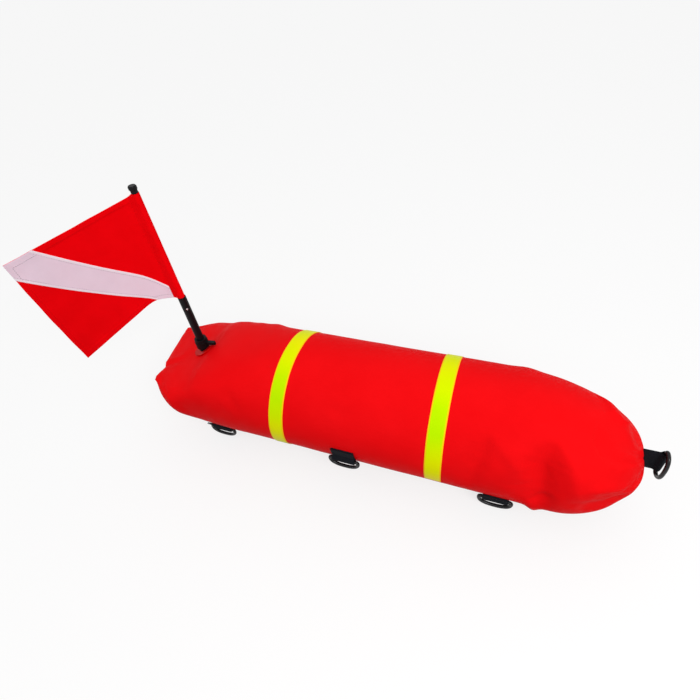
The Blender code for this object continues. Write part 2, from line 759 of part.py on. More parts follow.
def main():
    clear_scene()
    looks = make_looks()
    float_body(looks)
    tape("tape_flag_end", TAPE_FLAG_X, TAPE_FLAG_STEPS, looks["tape"])
    tape("tape_tow_end", TAPE_TOW_X, TAPE_TOW_STEPS, looks["tape"])
    side_tabs(looks)
    tow_tab(looks)
    socket(looks)
    pole(looks)
    flag(looks)
    valve(looks)


main()
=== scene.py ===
from math import acos, atan2, copysign, cos, hypot, pi, radians, sin

import bmesh
import bpy
import numpy as np
from mathutils import Matrix, Vector

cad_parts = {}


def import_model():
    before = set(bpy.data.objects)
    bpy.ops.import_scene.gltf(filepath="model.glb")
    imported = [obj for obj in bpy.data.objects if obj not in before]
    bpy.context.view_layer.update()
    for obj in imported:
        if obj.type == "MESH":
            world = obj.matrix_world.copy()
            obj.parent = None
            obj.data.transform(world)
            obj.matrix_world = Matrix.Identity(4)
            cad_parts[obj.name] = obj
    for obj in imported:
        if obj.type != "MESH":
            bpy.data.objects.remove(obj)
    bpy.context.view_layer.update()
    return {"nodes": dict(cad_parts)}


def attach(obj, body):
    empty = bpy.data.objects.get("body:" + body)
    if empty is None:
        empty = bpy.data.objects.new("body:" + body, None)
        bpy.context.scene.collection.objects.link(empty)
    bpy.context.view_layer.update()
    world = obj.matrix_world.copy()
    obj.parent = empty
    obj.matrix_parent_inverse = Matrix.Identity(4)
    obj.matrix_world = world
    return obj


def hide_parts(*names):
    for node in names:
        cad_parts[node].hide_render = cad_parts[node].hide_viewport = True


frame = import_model()
NODES = frame["nodes"]

# Lengths are in metres and angles in degrees, where nothing else is said
MM = 1000.0
SHARP_ANGLE = radians(50)

# The float's form, as in the solids
RADIUS = 0.1
AXIS_HEIGHT = 0.097
FLAG_END_X = -0.385
FLAG_CAP = 0.265
SEAM_SLANT = 0.012
TOW_END_X = 0.4146
TOW_CAP = 0.154
TOW_CAP_SWAY = 0.041
TOW_CAP_TURN = 24.0
TOW_DOME_POWER = 2.07
# The dome's longest reach, and where the tow tab is seated on it
TOW_REACH = 0.195
TOW_SEAT_X = TOW_END_X - TOW_REACH * 0.003
# Stations of the flag end: share of its cap, then half width, top, bottom and middle in shares of the
# radius, and the power of the upper curve
FLAG_CAP_ROWS = np.array((
    (0.0, 0.7, 0.236, 0.196, 0.216, 2.6),
    (0.035, 0.75, 0.285, -0.04, 0.206, 2.6),
    (0.08, 0.85, 0.325, -0.24, 0.14, 2.8),
    (0.14, 0.94, 0.375, -0.51, 0.12, 3.0),
    (0.22, 1.01, 0.42, -0.8, 0.09, 3.2),
    (0.32, 0.995, 0.507, -0.98, 0.06, 3.4),
    (0.42, 0.995, 0.65, -1.0, 0.03, 3.3),
    (0.55, 1.0, 0.76, -1.0, 0.01, 3.0),
    (0.7, 1.0, 0.85, -1.0, 0.0, 2.6),
    (0.85, 1.0, 0.94, -1.0, 0.0, 2.2),
    (1.0, 1.0, 1.0, -1.0, 0.0, 2.0),
))
SEAT_GAP = 0.0003
BLADDER_INSET = 0.0015

# Tapes: name, station of the middle, angle reached below the level of the axis, and how far the tape
# has crept along the float at TAPE_ANGLES
TAPE_WIDTH = 0.025
TAPE_ANGLES = (-30.0, 30.0, 60.0, 90.0, 124.0, 150.0, 165.0, 185.0, 200.0, 215.0)
TAPES = (
    ("flag_end", -0.117, 40.0, (0.0, 0.003, 0.005, 0.006, 0.005, 0.0035, 0.002, -0.001, -0.004, -0.006)),
    ("tow_end", 0.136, 20.0, (0.0, 0.0, 0.0, 0.0005, 0.0015, 0.002, 0.0025, 0.0025, 0.0025, 0.0025)),
)
# Height of the film at its edges, and what it gains within a short reach of them
TAPE_EDGE = 0.00032
TAPE_RISE = 0.0004
TAPE_RISE_REACH = 0.0012

# Webbing and D-rings
TAB_XS = (-0.261, -0.004, 0.232)
TAB_ANGLES = (44.0, 18.0, 40.0)
TAB_WIDTH = 0.038
TAB_PAD = 0.025
WEBBING = 0.0016
RING_ROD = 0.0029
RING_HALF_WIDTH = 0.024
RING_DEPTH = 0.018
RING_CORNER = 0.0035
RING_BOW_POWER = 2.0 / 2.4
BAR_CLEARANCE = 0.0004
BAR_REACH = RADIUS + SEAT_GAP + RING_ROD + BAR_CLEARANCE + WEBBING
LOOP_RADIUS = RING_ROD + BAR_CLEARANCE + WEBBING / 2
TOW_TAB_LENGTH = 0.022
TOW_TAB_RISE = 0.005
TOW_TAB_ROOT = 0.006
TOW_RING_TURN = -85.0
STITCH_INSET = 0.003
# Section of one stitch, and its width and height at both ends and in the middle, as shares
STITCH_SECTION = ((1, 0), (0.6, 0.8), (-0.6, 0.8), (-1, 0), (0, -0.6))
STITCH_SIZES = ((0.5, 0.1), (1.0, 1.0), (0.5, 0.1))

# Pole socket and valve: the holes in the cover, and the room for them in the bladder
SOCKET_X = -0.3035
STEM_DEPTH = 0.0355
STEM_HOLE = 0.0088
STEM_ROOM = 0.009
VALVE_X = 0.05
VALVE_ANGLE = 4.0
VALVE_HOLE = 0.0078
VALVE_ROOM = 0.008
DRILL_ABOVE = 0.03
DRILL_REACH = 0.02

# The flag's form. The cloth's swing and droop are given at its bottom and its top.
FLAG_BOTTOM_Z = 0.2676
FLAG_HEIGHT = 0.179
FLAG_WIDTH = 0.202
SLEEVE_RADIUS = 0.0056
SLEEVE_WALL = 0.0009
SLEEVE_TIP_SHARE = 0.062
SLEEVE_TIP_HALF = 0.0006
HOIST_SWINGS = (31.6, 40.7)
HOIST_DROOPS = (-8.2, 14.7)
FLY_SWINGS = (38.5, 44.2)
FLY_DROOPS = (28.2, 13.5)
FOLD_SHARE = 0.196
FOLD_SOFTNESS_SHARE = 0.03
CLOTH_STEPS = 40
CLOTH_HALF = 0.00022
HEM = 0.0092
HEM_THREAD = 0.0078
BAND_HOIST_SHARE = 0.065
BAND_BOTTOM_SHARE = 0.185
BAND_FLY_SHARE = 0.87
BAND_TOP_SHARE = 0.785
BAND_HIGH_SLOPE = (1.0 - BAND_HOIST_SHARE) / BAND_TOP_SHARE
BAND_LOW_SLOPE = BAND_FLY_SHARE / (1.0 - BAND_BOTTOM_SHARE)
BAND_NEAR = 0.00052
BAND_THICK = 0.00034
BAND_FOLD_RISE = 0.00022
BAND_FOLD = 0.0036
BAND_THREAD = 0.0042
# Way in which the flag's front faces
FRONT = np.array((0.62, -0.66, 0.42))
FRONT /= np.linalg.norm(FRONT)


# Meshes


def new_object(name, data):
    obj = bpy.data.objects.new(name, data)
    bpy.context.scene.collection.objects.link(obj)
    return obj


def add_piece(name, points, faces, look, body, places=None):
    """Mesh object that rides on a body. places are cloth coordinates in metres, one for each point."""
    mesh = bpy.data.meshes.new(name)
    mesh.from_pydata(np.asarray(points, dtype=float).tolist(), [], faces)
    if places is not None:
        layer = mesh.attributes.new("cloth", "FLOAT_VECTOR", "POINT")
        layer.data.foreach_set("vector", np.asarray(places, dtype=np.float32).ravel())
    bm = bmesh.new()
    bm.from_mesh(mesh)
    bmesh.ops.recalc_face_normals(bm, faces=bm.faces)
    bm.to_mesh(mesh)
    bm.free()
    mesh.shade_smooth()
    mesh.set_sharp_from_angle(angle=SHARP_ANGLE)
    mesh.materials.append(look)
    obj = new_object(name, mesh)
    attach(obj, body)
    return obj


def sheet_solid(name, inner, outer, places, look, body):
    """Closed solid between two grids of points, shaped rows x columns x 3."""
    rows, columns = outer.shape[:2]
    points = np.concatenate([outer.reshape(-1, 3), inner.reshape(-1, 3)])
    grid = np.arange(rows * columns).reshape(rows, columns)
    other = grid + rows * columns
    faces = []

    def quads(*corners):
        faces.extend(np.stack([corner.ravel() for corner in corners], axis=1).tolist())

    for side in (grid, other):
        quads(side[:-1, :-1], side[:-1, 1:], side[1:, 1:], side[1:, :-1])
    for end in (0, -1):
        quads(grid[end, :-1], grid[end, 1:], other[end, 1:], other[end, :-1])
    for end in (0, -1):
        quads(grid[:-1, end], grid[1:, end], other[1:, end], other[:-1, end])
    places = places.reshape(-1, 3)
    return add_piece(name, points, faces, look, body, np.concatenate([places, places]))


def tube_faces(index, closed=False):
    """Faces between the rows of a grid of point numbers, each of them a ring."""
    low, high = (index, np.roll(index, -1, axis=0)) if closed else (index[:-1], index[1:])
    corners = (low, np.roll(low, -1, axis=1), np.roll(high, -1, axis=1), high)
    return np.stack(corners, axis=-1).reshape(-1, 4).tolist()


def fan_faces(ring, hub):
    """Triangles between a ring of point numbers and one point."""
    return [(int(a), int(b), hub) for a, b in zip(ring, np.roll(ring, -1))]


def run_length(points):
    """How far along a line of points each of them lies."""
    return np.concatenate([[0.0], np.cumsum(np.linalg.norm(np.diff(points, axis=0), axis=1))])


def between(at, knots, values):
    """Rows of values at places between the knots that they belong to."""
    return np.stack([np.interp(at, knots, column) for column in values.T], axis=-1)


def resampled(points, count):
    length = run_length(points)
    return between(np.linspace(0.0, length[-1], count), length, np.asarray(points, float))


# The float's skin


def cap_row(share):
    """Row of shares of the radius, on a smooth curve through the flag end's stations."""
    knots = FLAG_CAP_ROWS[:, 0]
    values = FLAG_CAP_ROWS[:, 1:]
    steps = np.diff(values, axis=0) / np.diff(knots)[:, None]
    slopes = np.zeros_like(values)
    same = steps[1:] * steps[:-1] > 0
    mean = 2.0 * steps[1:] * steps[:-1] / np.where(same, steps[1:] + steps[:-1], 1.0)
    slopes[1:-1] = np.where(same, mean, 0.0)
    slopes[0] = steps[0]
    cell = np.clip(np.searchsorted(knots, share, side="right") - 1, 0, len(knots) - 2)
    span = (knots[cell + 1] - knots[cell])[..., None]
    t = (share[..., None] - knots[cell][..., None]) / span
    low, high = values[cell], values[cell + 1]
    a, b = slopes[cell] * span, slopes[cell + 1] * span
    return ((2 * t**3 - 3 * t**2 + 1) * low + (t**3 - 2 * t**2 + t) * a
            + (3 * t**2 - 2 * t**3) * high + (t**3 - t**2) * b)


def smooth_skin(x, degrees):
    """Points of the float's skin without creases, at stations and angles from +Y over the top."""
    x, degrees = np.broadcast_arrays(x, degrees)
    cap = TOW_CAP + TOW_CAP_SWAY * np.cos(np.radians(degrees - TOW_CAP_TURN))
    dome = np.clip((x - TOW_END_X + cap) / cap, 0.0, 1.0)
    size = RADIUS * np.maximum(1.0 - dome**TOW_DOME_POWER, 0.0) ** (1.0 / TOW_DOME_POWER)
    share = np.clip((x - FLAG_END_X) / FLAG_CAP, 0.0, 1.0)
    row = cap_row(share)
    half_width, top, bottom, middle = (row[..., i] * size for i in range(4))
    across = np.cos(np.radians(degrees))
    rise = np.sin(np.radians(degrees))
    exponent = 2.0 / np.where(rise > 0, row[..., 4], 2.0)
    height = np.where(rise > 0, top - middle, middle - bottom)
    across = np.sign(across) * np.abs(across) ** exponent
    slant = SEAM_SLANT * across * (1.0 - share) ** 3
    z = AXIS_HEIGHT + middle + height * np.sign(rise) * np.abs(rise) ** exponent
    return np.stack([x - slant, half_width * across, np.maximum(z, 0.0)], axis=-1)


def lattice_noise(u, turns, cells_u, cells_turn, seed):
    """Smooth noise from about -1 to 1 over u from 0 to 1 and turns of a circle."""
    rng = np.random.default_rng(seed)
    table = rng.uniform(-1.0, 1.0, (cells_u + 2, cells_turn))
    a = np.clip(u, 0.0, 0.9999) * cells_u
    b = np.mod(turns, 1.0) * cells_turn
    i, j = a.astype(int), b.astype(int) % cells_turn
    s, t = a - np.floor(a), b - np.floor(b)
    s, t = s * s * (3 - 2 * s), t * t * (3 - 2 * t)
    k = (j + 1) % cells_turn
    low = table[i, j] * (1 - t) + table[i, k] * t
    high = table[i + 1, j] * (1 - t) + table[i + 1, k] * t
    return low * (1 - s) + high * s


# Folds in the cover. Each is a line of (x, angle, height, right, left): height over the smooth form and
# the fold's widths on both sides of the line, in millimetres, seen from outside and going along the line.
# A single width stands for both sides.
FOLDS = (
    # Deep pleat at the tow end, widening downwards, steep on its tow side
    ((289, 128, 0, 6), (286, 133, -4.5, 11), (281, 141, -9.5, 17, 16), (279, 150, -14.0, 22, 19),
     (280, 160, -16.0, 26, 20), (282, 172, -15.0, 28, 20), (286, 186, -9.0, 26, 18), (290, 202, 0, 20, 16)),
    # Bulge beside it
    ((297, 131, 0.5, 4, 10), (306, 137, 3.2, 8, 16), (315, 144, 5.6, 12, 20), (322, 154, 6.8, 13, 22),
     (328, 164, 6.0, 14, 24), (334, 178, 0, 16, 24)),
    # Soft dimple before it, and the bulge between the two
    ((204, 133, 0, 8, 7), (205, 142, -3.4, 14, 10), (202, 150, -5.6, 18, 12), (197, 160, -6.2, 20, 13),
     (191, 176, -4.6, 22, 13), (186, 196, 0, 18, 12)),
    ((216, 136, 0.5, 7, 12), (231, 144, 2.4, 10, 16), (243, 149, 3.2, 12, 16), (254, 158, 3.0, 13, 16),
     (264, 170, 1.6, 14), (271, 184, 0, 12)),
    # Crease in an arc round the flatter tow face, and the face itself
    ((345, 88, 0, 5, 9), (341, 100, -1.4, 5, 10), (338, 114, -2.8, 5, 11), (339, 123, -3.4, 5, 11),
     (350, 131, -3.8, 5, 11), (370, 136, -3.2, 5, 10), (388, 136, -1.6, 5, 9), (402, 135, 0, 5, 7)),
    ((354, 100, -1.5, 14), (372, 112, -2.8, 18), (390, 118, -2.4, 16), (402, 122, -1.0, 12)),
    # Flap with a sharp edge at the tow end's top line, and the flatter end beyond it
    ((338, 52, 0, 4, 12), (350, 70, 4.6, 4, 18), (357, 84, 5.8, 5, 20), (366, 89, 5.6, 5, 20),
     (374, 87, 5.0, 5, 18), (382, 78, 3.4, 5, 14), (388, 66, 0, 5, 12)),
    ((386, 60, 0, 12), (393, 80, -3.6, 13, 12), (399, 98, -4.4, 13), (404, 116, -2.6, 12, 13),
     (408, 132, 0, 10)),
    # Ridge over the hollow under the tow end, the hollow, and the corner beyond it
    ((338, 159, 0, 8, 10), (350, 161, 3.2, 9, 14), (368, 162, 3.6, 9, 14), (384, 164, 2.2, 8, 12),
     (396, 166, 0, 6, 9)),
    ((334, 181, 0, 18, 10), (348, 182, -5.4, 22, 11), (366, 183, -6.4, 22, 11), (380, 181, -4.8, 20, 11),
     (392, 178, 0, 14, 9)),
    ((408, 164, 0.6, 12), (405, 174, 3.2, 13), (400, 186, 3.4, 13), (390, 202, 0, 14)),
    # Small pointed flap under the pleat, and the crease over it
    ((268, 184, 0, 8), (279, 201, 3.0, 9), (284, 210, 5.0, 9, 8), (287, 217, 2.4, 9, 8),
     (290, 224, 0, 8)),
    ((304, 177, 0, 5, 6), (293, 183, -2.8, 5, 7), (282, 190, -3.2, 5, 7), (270, 194, 0, 5, 6)),
    # Swells along the top line
    ((226, 30, 0, 14), (246, 46, 2.2, 16), (262, 62, 0, 14)),
    ((-196, 30, 0, 12), (-186, 44, 2.4, 14), (-176, 60, 0, 12)),
    ((-246, 30, 0, 10), (-238, 44, -1.6, 9), (-230, 62, 0, 10)),
    ((-306, 34, 0, 10), (-300, 48, -0.8, 10), (-288, 62, 0, 10)),
    # Dimples of the long side
    ((-15, 134, 0, 12), (-14, 141, -1.2, 15), (-16, 150, 0, 12)),
    ((-203, 138, 0, 12), (-200, 148, -1.6, 14, 12), (-190, 163, -1.6, 14, 12), (-184, 176, 0, 12)),
    ((-96, 120, 0, 14), (-92, 132, -0.9, 15, 14), (-96, 146, 0, 14)),
    ((66, 116, 0, 14), (72, 130, -0.8, 16, 14), (70, 146, 0, 14)),
    # Fuller lower corner at the flag end
    ((-358, 170, 1.4, 22), (-342, 186, 4.0, 28), (-326, 200, 3.6, 28), (-304, 212, 0, 22)),
    # Pleats that run in from the flag end's seam
    ((-385, 118, -1.5, 5, 4), (-370, 108, -3.0, 7, 5), (-352, 101, -2.2, 8, 5), (-330, 96, 0, 8, 6)),
    ((-385, 108, 0.5, 3, 5), (-368, 100, 1.8, 4, 7), (-350, 94, 1.4, 5, 8), (-334, 90, 0, 6, 8)),
    ((-384, 40, -1.0, 5), (-364, 42, -2.0, 8), (-338, 44, 0, 9)),
    ((-372, 208, -1.0, 7), (-352, 212, -1.4, 10), (-326, 216, 0, 10)),
    ((-378, 330, -1.2, 6), (-356, 326, -2.0, 9), (-326, 322, 0, 10)),
)
# How far the flag end's seam is drawn out, in millimetres, from its near corner to its far one
SEAM_PLACES = (-1.0, -0.92, -0.8, -0.66, -0.54, -0.4, 0.0, 0.6, 1.0)
SEAM_PULLS = (4.5, 6.0, 3.5, 0.5, 0.5, 3.0, 4.0, 4.5, 5.0)
SEAM_PULL_REACH = 0.022
# Places that the folds stay clear of: x, angle and reach in millimetres
CALM_PLACES = [(SOCKET_X * MM, 90.0, 24.0), (VALVE_X * MM, VALVE_ANGLE, 22.0)]
for tab_x, tab_angle in zip(TAB_XS, TAB_ANGLES):
    CALM_PLACES.append((tab_x * MM, 180.0 + tab_angle - 10.0, 30.0))
    CALM_PLACES.append((tab_x * MM, 360.0 - tab_angle + 10.0, 30.0))
# A fold's line is taken at steps of this many millimetres. Between steps it is blended over this many
# square millimetres, and its two sides meet within this many millimetres.
FOLD_STEP = 3.0
FOLD_BLEND = 12.0
FOLD_RIDGE = 2.0


def turn_between(degrees, place):
    """Arc along the body from a place's angle to these ones, in millimetres."""
    return np.radians((degrees - place + 180.0) % 360.0 - 180.0) * RADIUS * MM


def fold_height(u, degrees, fold):
    """Height of one fold in millimetres, at stations in millimetres and angles."""
    knots = np.array([(*knot, knot[-1])[:5] for knot in fold], float)
    knots[:, 1] *= radians(1.0) * RADIUS * MM
    steps = np.concatenate([[0.0], np.cumsum(np.hypot(*np.diff(knots[:, :2], axis=0).T))])
    line = between(np.linspace(0.0, steps[-1], max(int(steps[-1] / FOLD_STEP), 4)), steps, knots)
    middle = fold[len(fold) // 2][1]
    across = turn_between(degrees, middle) + radians(middle) * RADIUS * MM
    reach = 3.0 * line[:, 3:].max()
    close = (u > line[:, 0].min() - reach) & (u < line[:, 0].max() + reach) \
        & (across > line[:, 1].min() - reach) & (across < line[:, 1].max() + reach)
    du = u[close][:, None] - line[:, 0]
    dv = across[close][:, None] - line[:, 1]
    run = np.gradient(line[:, :2], axis=0)
    run /= np.linalg.norm(run, axis=1, keepdims=True)
    beside = run[:, 0] * dv - run[:, 1] * du
    off = du**2 + dv**2
    share = np.exp(-(off - off.min(axis=1, keepdims=True)) / FOLD_BLEND)
    share /= share.sum(axis=1, keepdims=True)
    turn = 0.5 + 0.5 * np.tanh((share * beside).sum(axis=1) / FOLD_RIDGE)
    width = turn * (share * line[:, 3]).sum(axis=1) + (1.0 - turn) * (share * line[:, 4]).sum(axis=1)
    height = np.zeros(u.shape)
    height[close] = (share * line[:, 2]).sum(axis=1) * np.exp(-off.min(axis=1) / width**2)
    return height


def relief(x, degrees):
    """Height of the cover's folds and dimples over its smooth form."""
    u = x * MM
    total = sum(fold_height(u, degrees, fold) for fold in FOLDS)
    # Slack of the cloth: broad and low in the middle, finer and higher towards the ends
    share = (u / MM - FLAG_END_X) / (TOW_END_X - FLAG_END_X)
    turns = degrees / 360.0
    ends = np.clip(np.abs(share - 0.47) * 2.2 - 0.45, 0.0, 0.6)
    total = total + 0.35 * lattice_noise(share, turns, 14, 12, 3)
    total = total + (0.15 + 0.7 * ends) * lattice_noise(share + 0.05 * np.sin(turns * 19), turns, 26, 20, 5)
    total = total + 0.4 * ends * lattice_noise(share, turns + 0.06 * np.sin(share * 40), 34, 46, 7)
    calm = np.ones(u.shape)
    for place_x, angle, reach in CALM_PLACES:
        off = np.hypot(u - place_x, turn_between(degrees, angle))
        calm = calm * (1.0 - np.exp(-((off / reach) ** 4)))
    # The cloth lies smooth where the float rests on it
    under = np.clip((np.sin(np.radians(degrees)) + 0.93) / 0.12, 0.0, 1.0)
    return total * calm * under / MM


def skin(x, degrees, lift=0.0):
    """Points of the cover's skin with its folds, lifted off it by lift."""
    x, degrees = np.broadcast_arrays(x, degrees)
    base = smooth_skin(x, degrees)
    step, turn = 0.0006, 0.4
    ahead = smooth_skin(np.minimum(x + step, TOW_END_X - 1e-7), degrees)
    behind = smooth_skin(np.maximum(x - step, FLAG_END_X), degrees)
    normal = np.cross(smooth_skin(x, degrees + turn) - smooth_skin(x, degrees - turn), ahead - behind)
    normal = normal / np.maximum(np.linalg.norm(normal, axis=-1, keepdims=True), 1e-15)
    outward = (base - np.array((0.0, 0.0, AXIS_HEIGHT))) * np.array((0.0, 1.0, 1.0))
    facing = np.sum(normal * outward, axis=-1, keepdims=True)
    normal = np.where(facing < 0, -normal, normal)
    moved = base + normal * (relief(x, degrees) + lift)[..., None]
    pull = np.interp(base[..., 1] / (FLAG_CAP_ROWS[0, 1] * RADIUS), SEAM_PLACES, SEAM_PULLS) / MM
    moved[..., 0] -= pull * np.exp(-((x - FLAG_END_X) / SEAM_PULL_REACH) ** 2)
    moved[..., 2] = np.maximum(moved[..., 2], 0.0)
    return moved


def skin_grid(xs, sides):
    """Stations and angles of a grid round the float, and the numbers of its points."""
    grid_x, grid_a = np.meshgrid(xs, np.arange(sides) * 360.0 / sides, indexing="ij")
    return grid_x, grid_a, np.arange(grid_x.size).reshape(grid_x.shape)


def cover_skin(look):
    """Whole cover as one closed fine skin."""
    sides, bend = 288, TOW_END_X - TOW_REACH
    sweep = np.sin(np.linspace(0.0, pi / 2, 110))
    xs = np.concatenate([np.arange(FLAG_END_X, bend, 0.0022), bend + TOW_REACH * sweep[1:-1]])
    grid_x, grid_a, index = skin_grid(xs, sides)
    points = np.concatenate([skin(grid_x, grid_a).reshape(-1, 3), [[TOW_END_X, 0.0, AXIS_HEIGHT]]])
    faces = tube_faces(index) + fan_faces(index[-1], index.size)
    for side in range(sides // 2):
        faces.append(list(dict.fromkeys((side, side + 1, sides - side - 1, -side % sides))))
    places = np.stack([grid_x, np.radians(grid_a) * RADIUS, np.zeros_like(grid_x)], axis=-1).reshape(-1, 3)
    places = np.concatenate([places, [[TOW_END_X, 0.0, 0.0]]])
    piece = add_piece("cover_skin", points, faces, look, "float", places)
    drill_holes(piece, STEM_HOLE, VALVE_HOLE)
    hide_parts("cover")


def drill(piece, low, high, radius):
    """Cuts a round hole through a piece along the line from low to high."""
    low, high = Vector(low), Vector(high)
    axis = high - low
    bm = bmesh.new()
    place = Matrix.Translation((low + high) / 2) @ axis.to_track_quat("Z", "Y").to_matrix().to_4x4()
    bmesh.ops.create_cone(bm, cap_ends=True, segments=48, radius1=radius, radius2=radius,
                          depth=axis.length, matrix=place)
    mesh = bpy.data.meshes.new("drill")
    bm.to_mesh(mesh)
    bm.free()
    cutter = new_object("drill", mesh)
    modifier = piece.modifiers.new("drill", "BOOLEAN")
    modifier.operation = "DIFFERENCE"
    modifier.solver = "EXACT"
    modifier.object = cutter
    graph = bpy.context.evaluated_depsgraph_get()
    graph.update()
    cut = bpy.data.meshes.new_from_object(piece.evaluated_get(graph))
    piece.modifiers.clear()
    piece.data = cut
    bpy.data.objects.remove(cutter)
    bpy.data.meshes.remove(mesh)


def drill_holes(piece, stem_radius, valve_radius):
    """Holes for the pole's socket and for the valve."""
    seat, up = smooth_skin(SOCKET_X, 90.0), np.array((0.0, 0.0, 1.0))
    drill(piece, seat - up * STEM_DEPTH, seat + up * DRILL_ABOVE, stem_radius)
    away = np.array((0.0, cos(radians(VALVE_ANGLE)), sin(radians(VALVE_ANGLE))))
    middle = np.array((VALVE_X, 0.0, AXIS_HEIGHT)) + away * RADIUS
    drill(piece, middle - away * DRILL_REACH, middle + away * DRILL_REACH, valve_radius)
    piece.data.set_sharp_from_angle(angle=SHARP_ANGLE)


def bladder_skin(look):
    """Bladder that fills the cover and follows its folds from inside, with room for stem and valve."""
    bend = TOW_END_X - 0.06
    sweep = np.sin(np.linspace(0.0, pi / 2, 30))
    xs = np.concatenate([np.arange(FLAG_END_X + 0.024, bend, 0.0033), bend + 0.058 * sweep])
    grid_x, grid_a, index = skin_grid(xs, 180)
    points = skin(grid_x, grid_a, -BLADDER_INSET)
    ends = [points[row].mean(axis=0) for row in (0, -1)]
    faces = tube_faces(index) + fan_faces(index[0], index.size) + fan_faces(index[-1], index.size + 1)
    piece = add_piece("bladder_skin", np.concatenate([points.reshape(-1, 3), ends]), faces, look, "float")
    drill_holes(piece, STEM_ROOM, VALVE_ROOM)
    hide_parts("air_bladder")


# Reflective tape


def tape(name, centre, below, creeps, look):
    """Band of tape over the top, thin at its edges, following the cover's folds."""
    half = TAPE_WIDTH / 2
    across = np.linspace(-half, half, 21)
    arc = np.linspace(-below, 180.0 + below, 220)
    grid_x, grid_a = np.meshgrid(centre + across, arc, indexing="ij")
    edge = half - np.abs(grid_x - centre)
    end = np.radians(np.minimum(grid_a + below, 180.0 + below - grid_a)) * RADIUS
    closest = np.minimum(edge, end)
    thick = TAPE_EDGE + TAPE_RISE * np.clip(closest / TAPE_RISE_REACH, 0.0, 1.0) ** 0.5
    moved = grid_x + np.interp(grid_a, TAPE_ANGLES, creeps)
    outer = skin(moved, grid_a, SEAT_GAP + thick)
    inner = skin(moved, grid_a, SEAT_GAP * 0.6)
    places = np.stack([grid_x - centre, np.radians(grid_a) * RADIUS, closest], axis=-1)
    piece = sheet_solid(name, inner, outer, places, look, "float")
    return piece


# Webbing and D-rings


def strap(name, path, across, look):
    """Flat webbing along a line of points, its width running along one fixed direction."""
    half = TAB_WIDTH / 2
    across = np.array(across)
    tangent = np.gradient(path, axis=0)
    tangent /= np.linalg.norm(tangent, axis=1, keepdims=True)
    normal = np.cross(across, tangent)
    shares = np.array((-1.0, -0.97, -0.9, -0.7, -0.4, 0.0, 0.4, 0.7, 0.9, 0.97, 1.0))
    thick = WEBBING / 2 * (1.0 - 0.45 * np.abs(shares) ** 10)
    side = path[:, None, :] + across * (shares * half)[:, None]
    lift = normal[:, None, :] * thick[None, :, None]
    places = np.stack(np.broadcast_arrays(
        shares * half, run_length(path)[:, None], half * (1 - np.abs(shares))), axis=-1)
    return sheet_solid(name, side - lift, side + lift, places, look, "float")


def stitches(name, rows, look, body, pitch=0.0032, length=0.0024, width=0.0006, height=0.0003):
    """Short thread stitches along lines of (points, normals)."""
    points, faces = [], []
    for line, normals in rows:
        along = run_length(line)
        count = max(int(along[-1] / pitch), 1)
        for spot in (np.arange(count) + 0.5) * along[-1] / count:
            normal = between(spot, along, normals)
            normal /= np.linalg.norm(normal)
            places = [between(spot + part * length, along, line) for part in (-0.5, 0.0, 0.5)]
            side = np.cross(normal, places[2] - places[0])
            side /= max(np.linalg.norm(side), 1e-12)
            index = len(points) + np.arange(15).reshape(3, 5)
            for place, (w, h) in zip(places, STITCH_SIZES):
                for a, b in STITCH_SECTION:
                    points.append(place + side * a * w * width / 2 + normal * b * h * height)
            faces += tube_faces(index) + [index[0].tolist(), index[2].tolist()]
    return add_piece(name, points, faces, look, body)


def side_strap(name, x, angle, side, looks, node):
    """Doubled webbing on the cover, round the ring's bar and back over itself. Gives the bar's middle."""
    down = radians(angle)
    outward = np.array((0.0, side * cos(down), -sin(down)))
    upward = np.array((0.0, side * sin(down), cos(down)))
    centre = np.array((x, 0.0, AXIS_HEIGHT)) + outward * BAR_REACH
    top = angle - np.degrees(TAB_PAD / RADIUS)

    def on_cover(xs, below, height):
        return skin(xs, -below if side > 0 else 180.0 + below, height)

    lower = on_cover(x, np.linspace(top, angle - 1.5, 24), SEAT_GAP + WEBBING / 2)
    upper = on_cover(x, np.linspace(angle - 4.0, top, 24), SEAT_GAP + WEBBING * 1.55)
    turns = np.radians(np.linspace(0.0, 235.0, 30))
    bow = [centre + LOOP_RADIUS * (-outward * cos(t) - upward * sin(t)) for t in turns]
    path = resampled(np.concatenate([lower, bow, upper]), 110)
    piece = strap(name, path, (1.0, 0.0, 0.0), looks["webbing"])
    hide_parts(node)
    half, height = TAB_WIDTH / 2 - STITCH_INSET, SEAT_GAP + WEBBING * 2.05
    low, high = angle - 6.0, top + np.degrees(STITCH_INSET / RADIUS)

    def line(x0, a0, x1, a1):
        steps = np.linspace(0.0, 1.0, 24)
        xs = x + x0 + (x1 - x0) * steps
        below = a0 + (a1 - a0) * steps
        points = on_cover(xs, below, height)
        return points, on_cover(xs, below, height + 0.001) - points

    # A rectangle with both its diagonals
    corners = ((-half, low), (half, low), (half, high), (-half, high))
    rows = [line(*corners[i], *corners[j]) for i, j in ((0, 1), (1, 2), (2, 3), (3, 0), (0, 2), (3, 1))]
    thread = stitches(f"{name}_stitches", rows, looks["thread"], "float")
    return centre


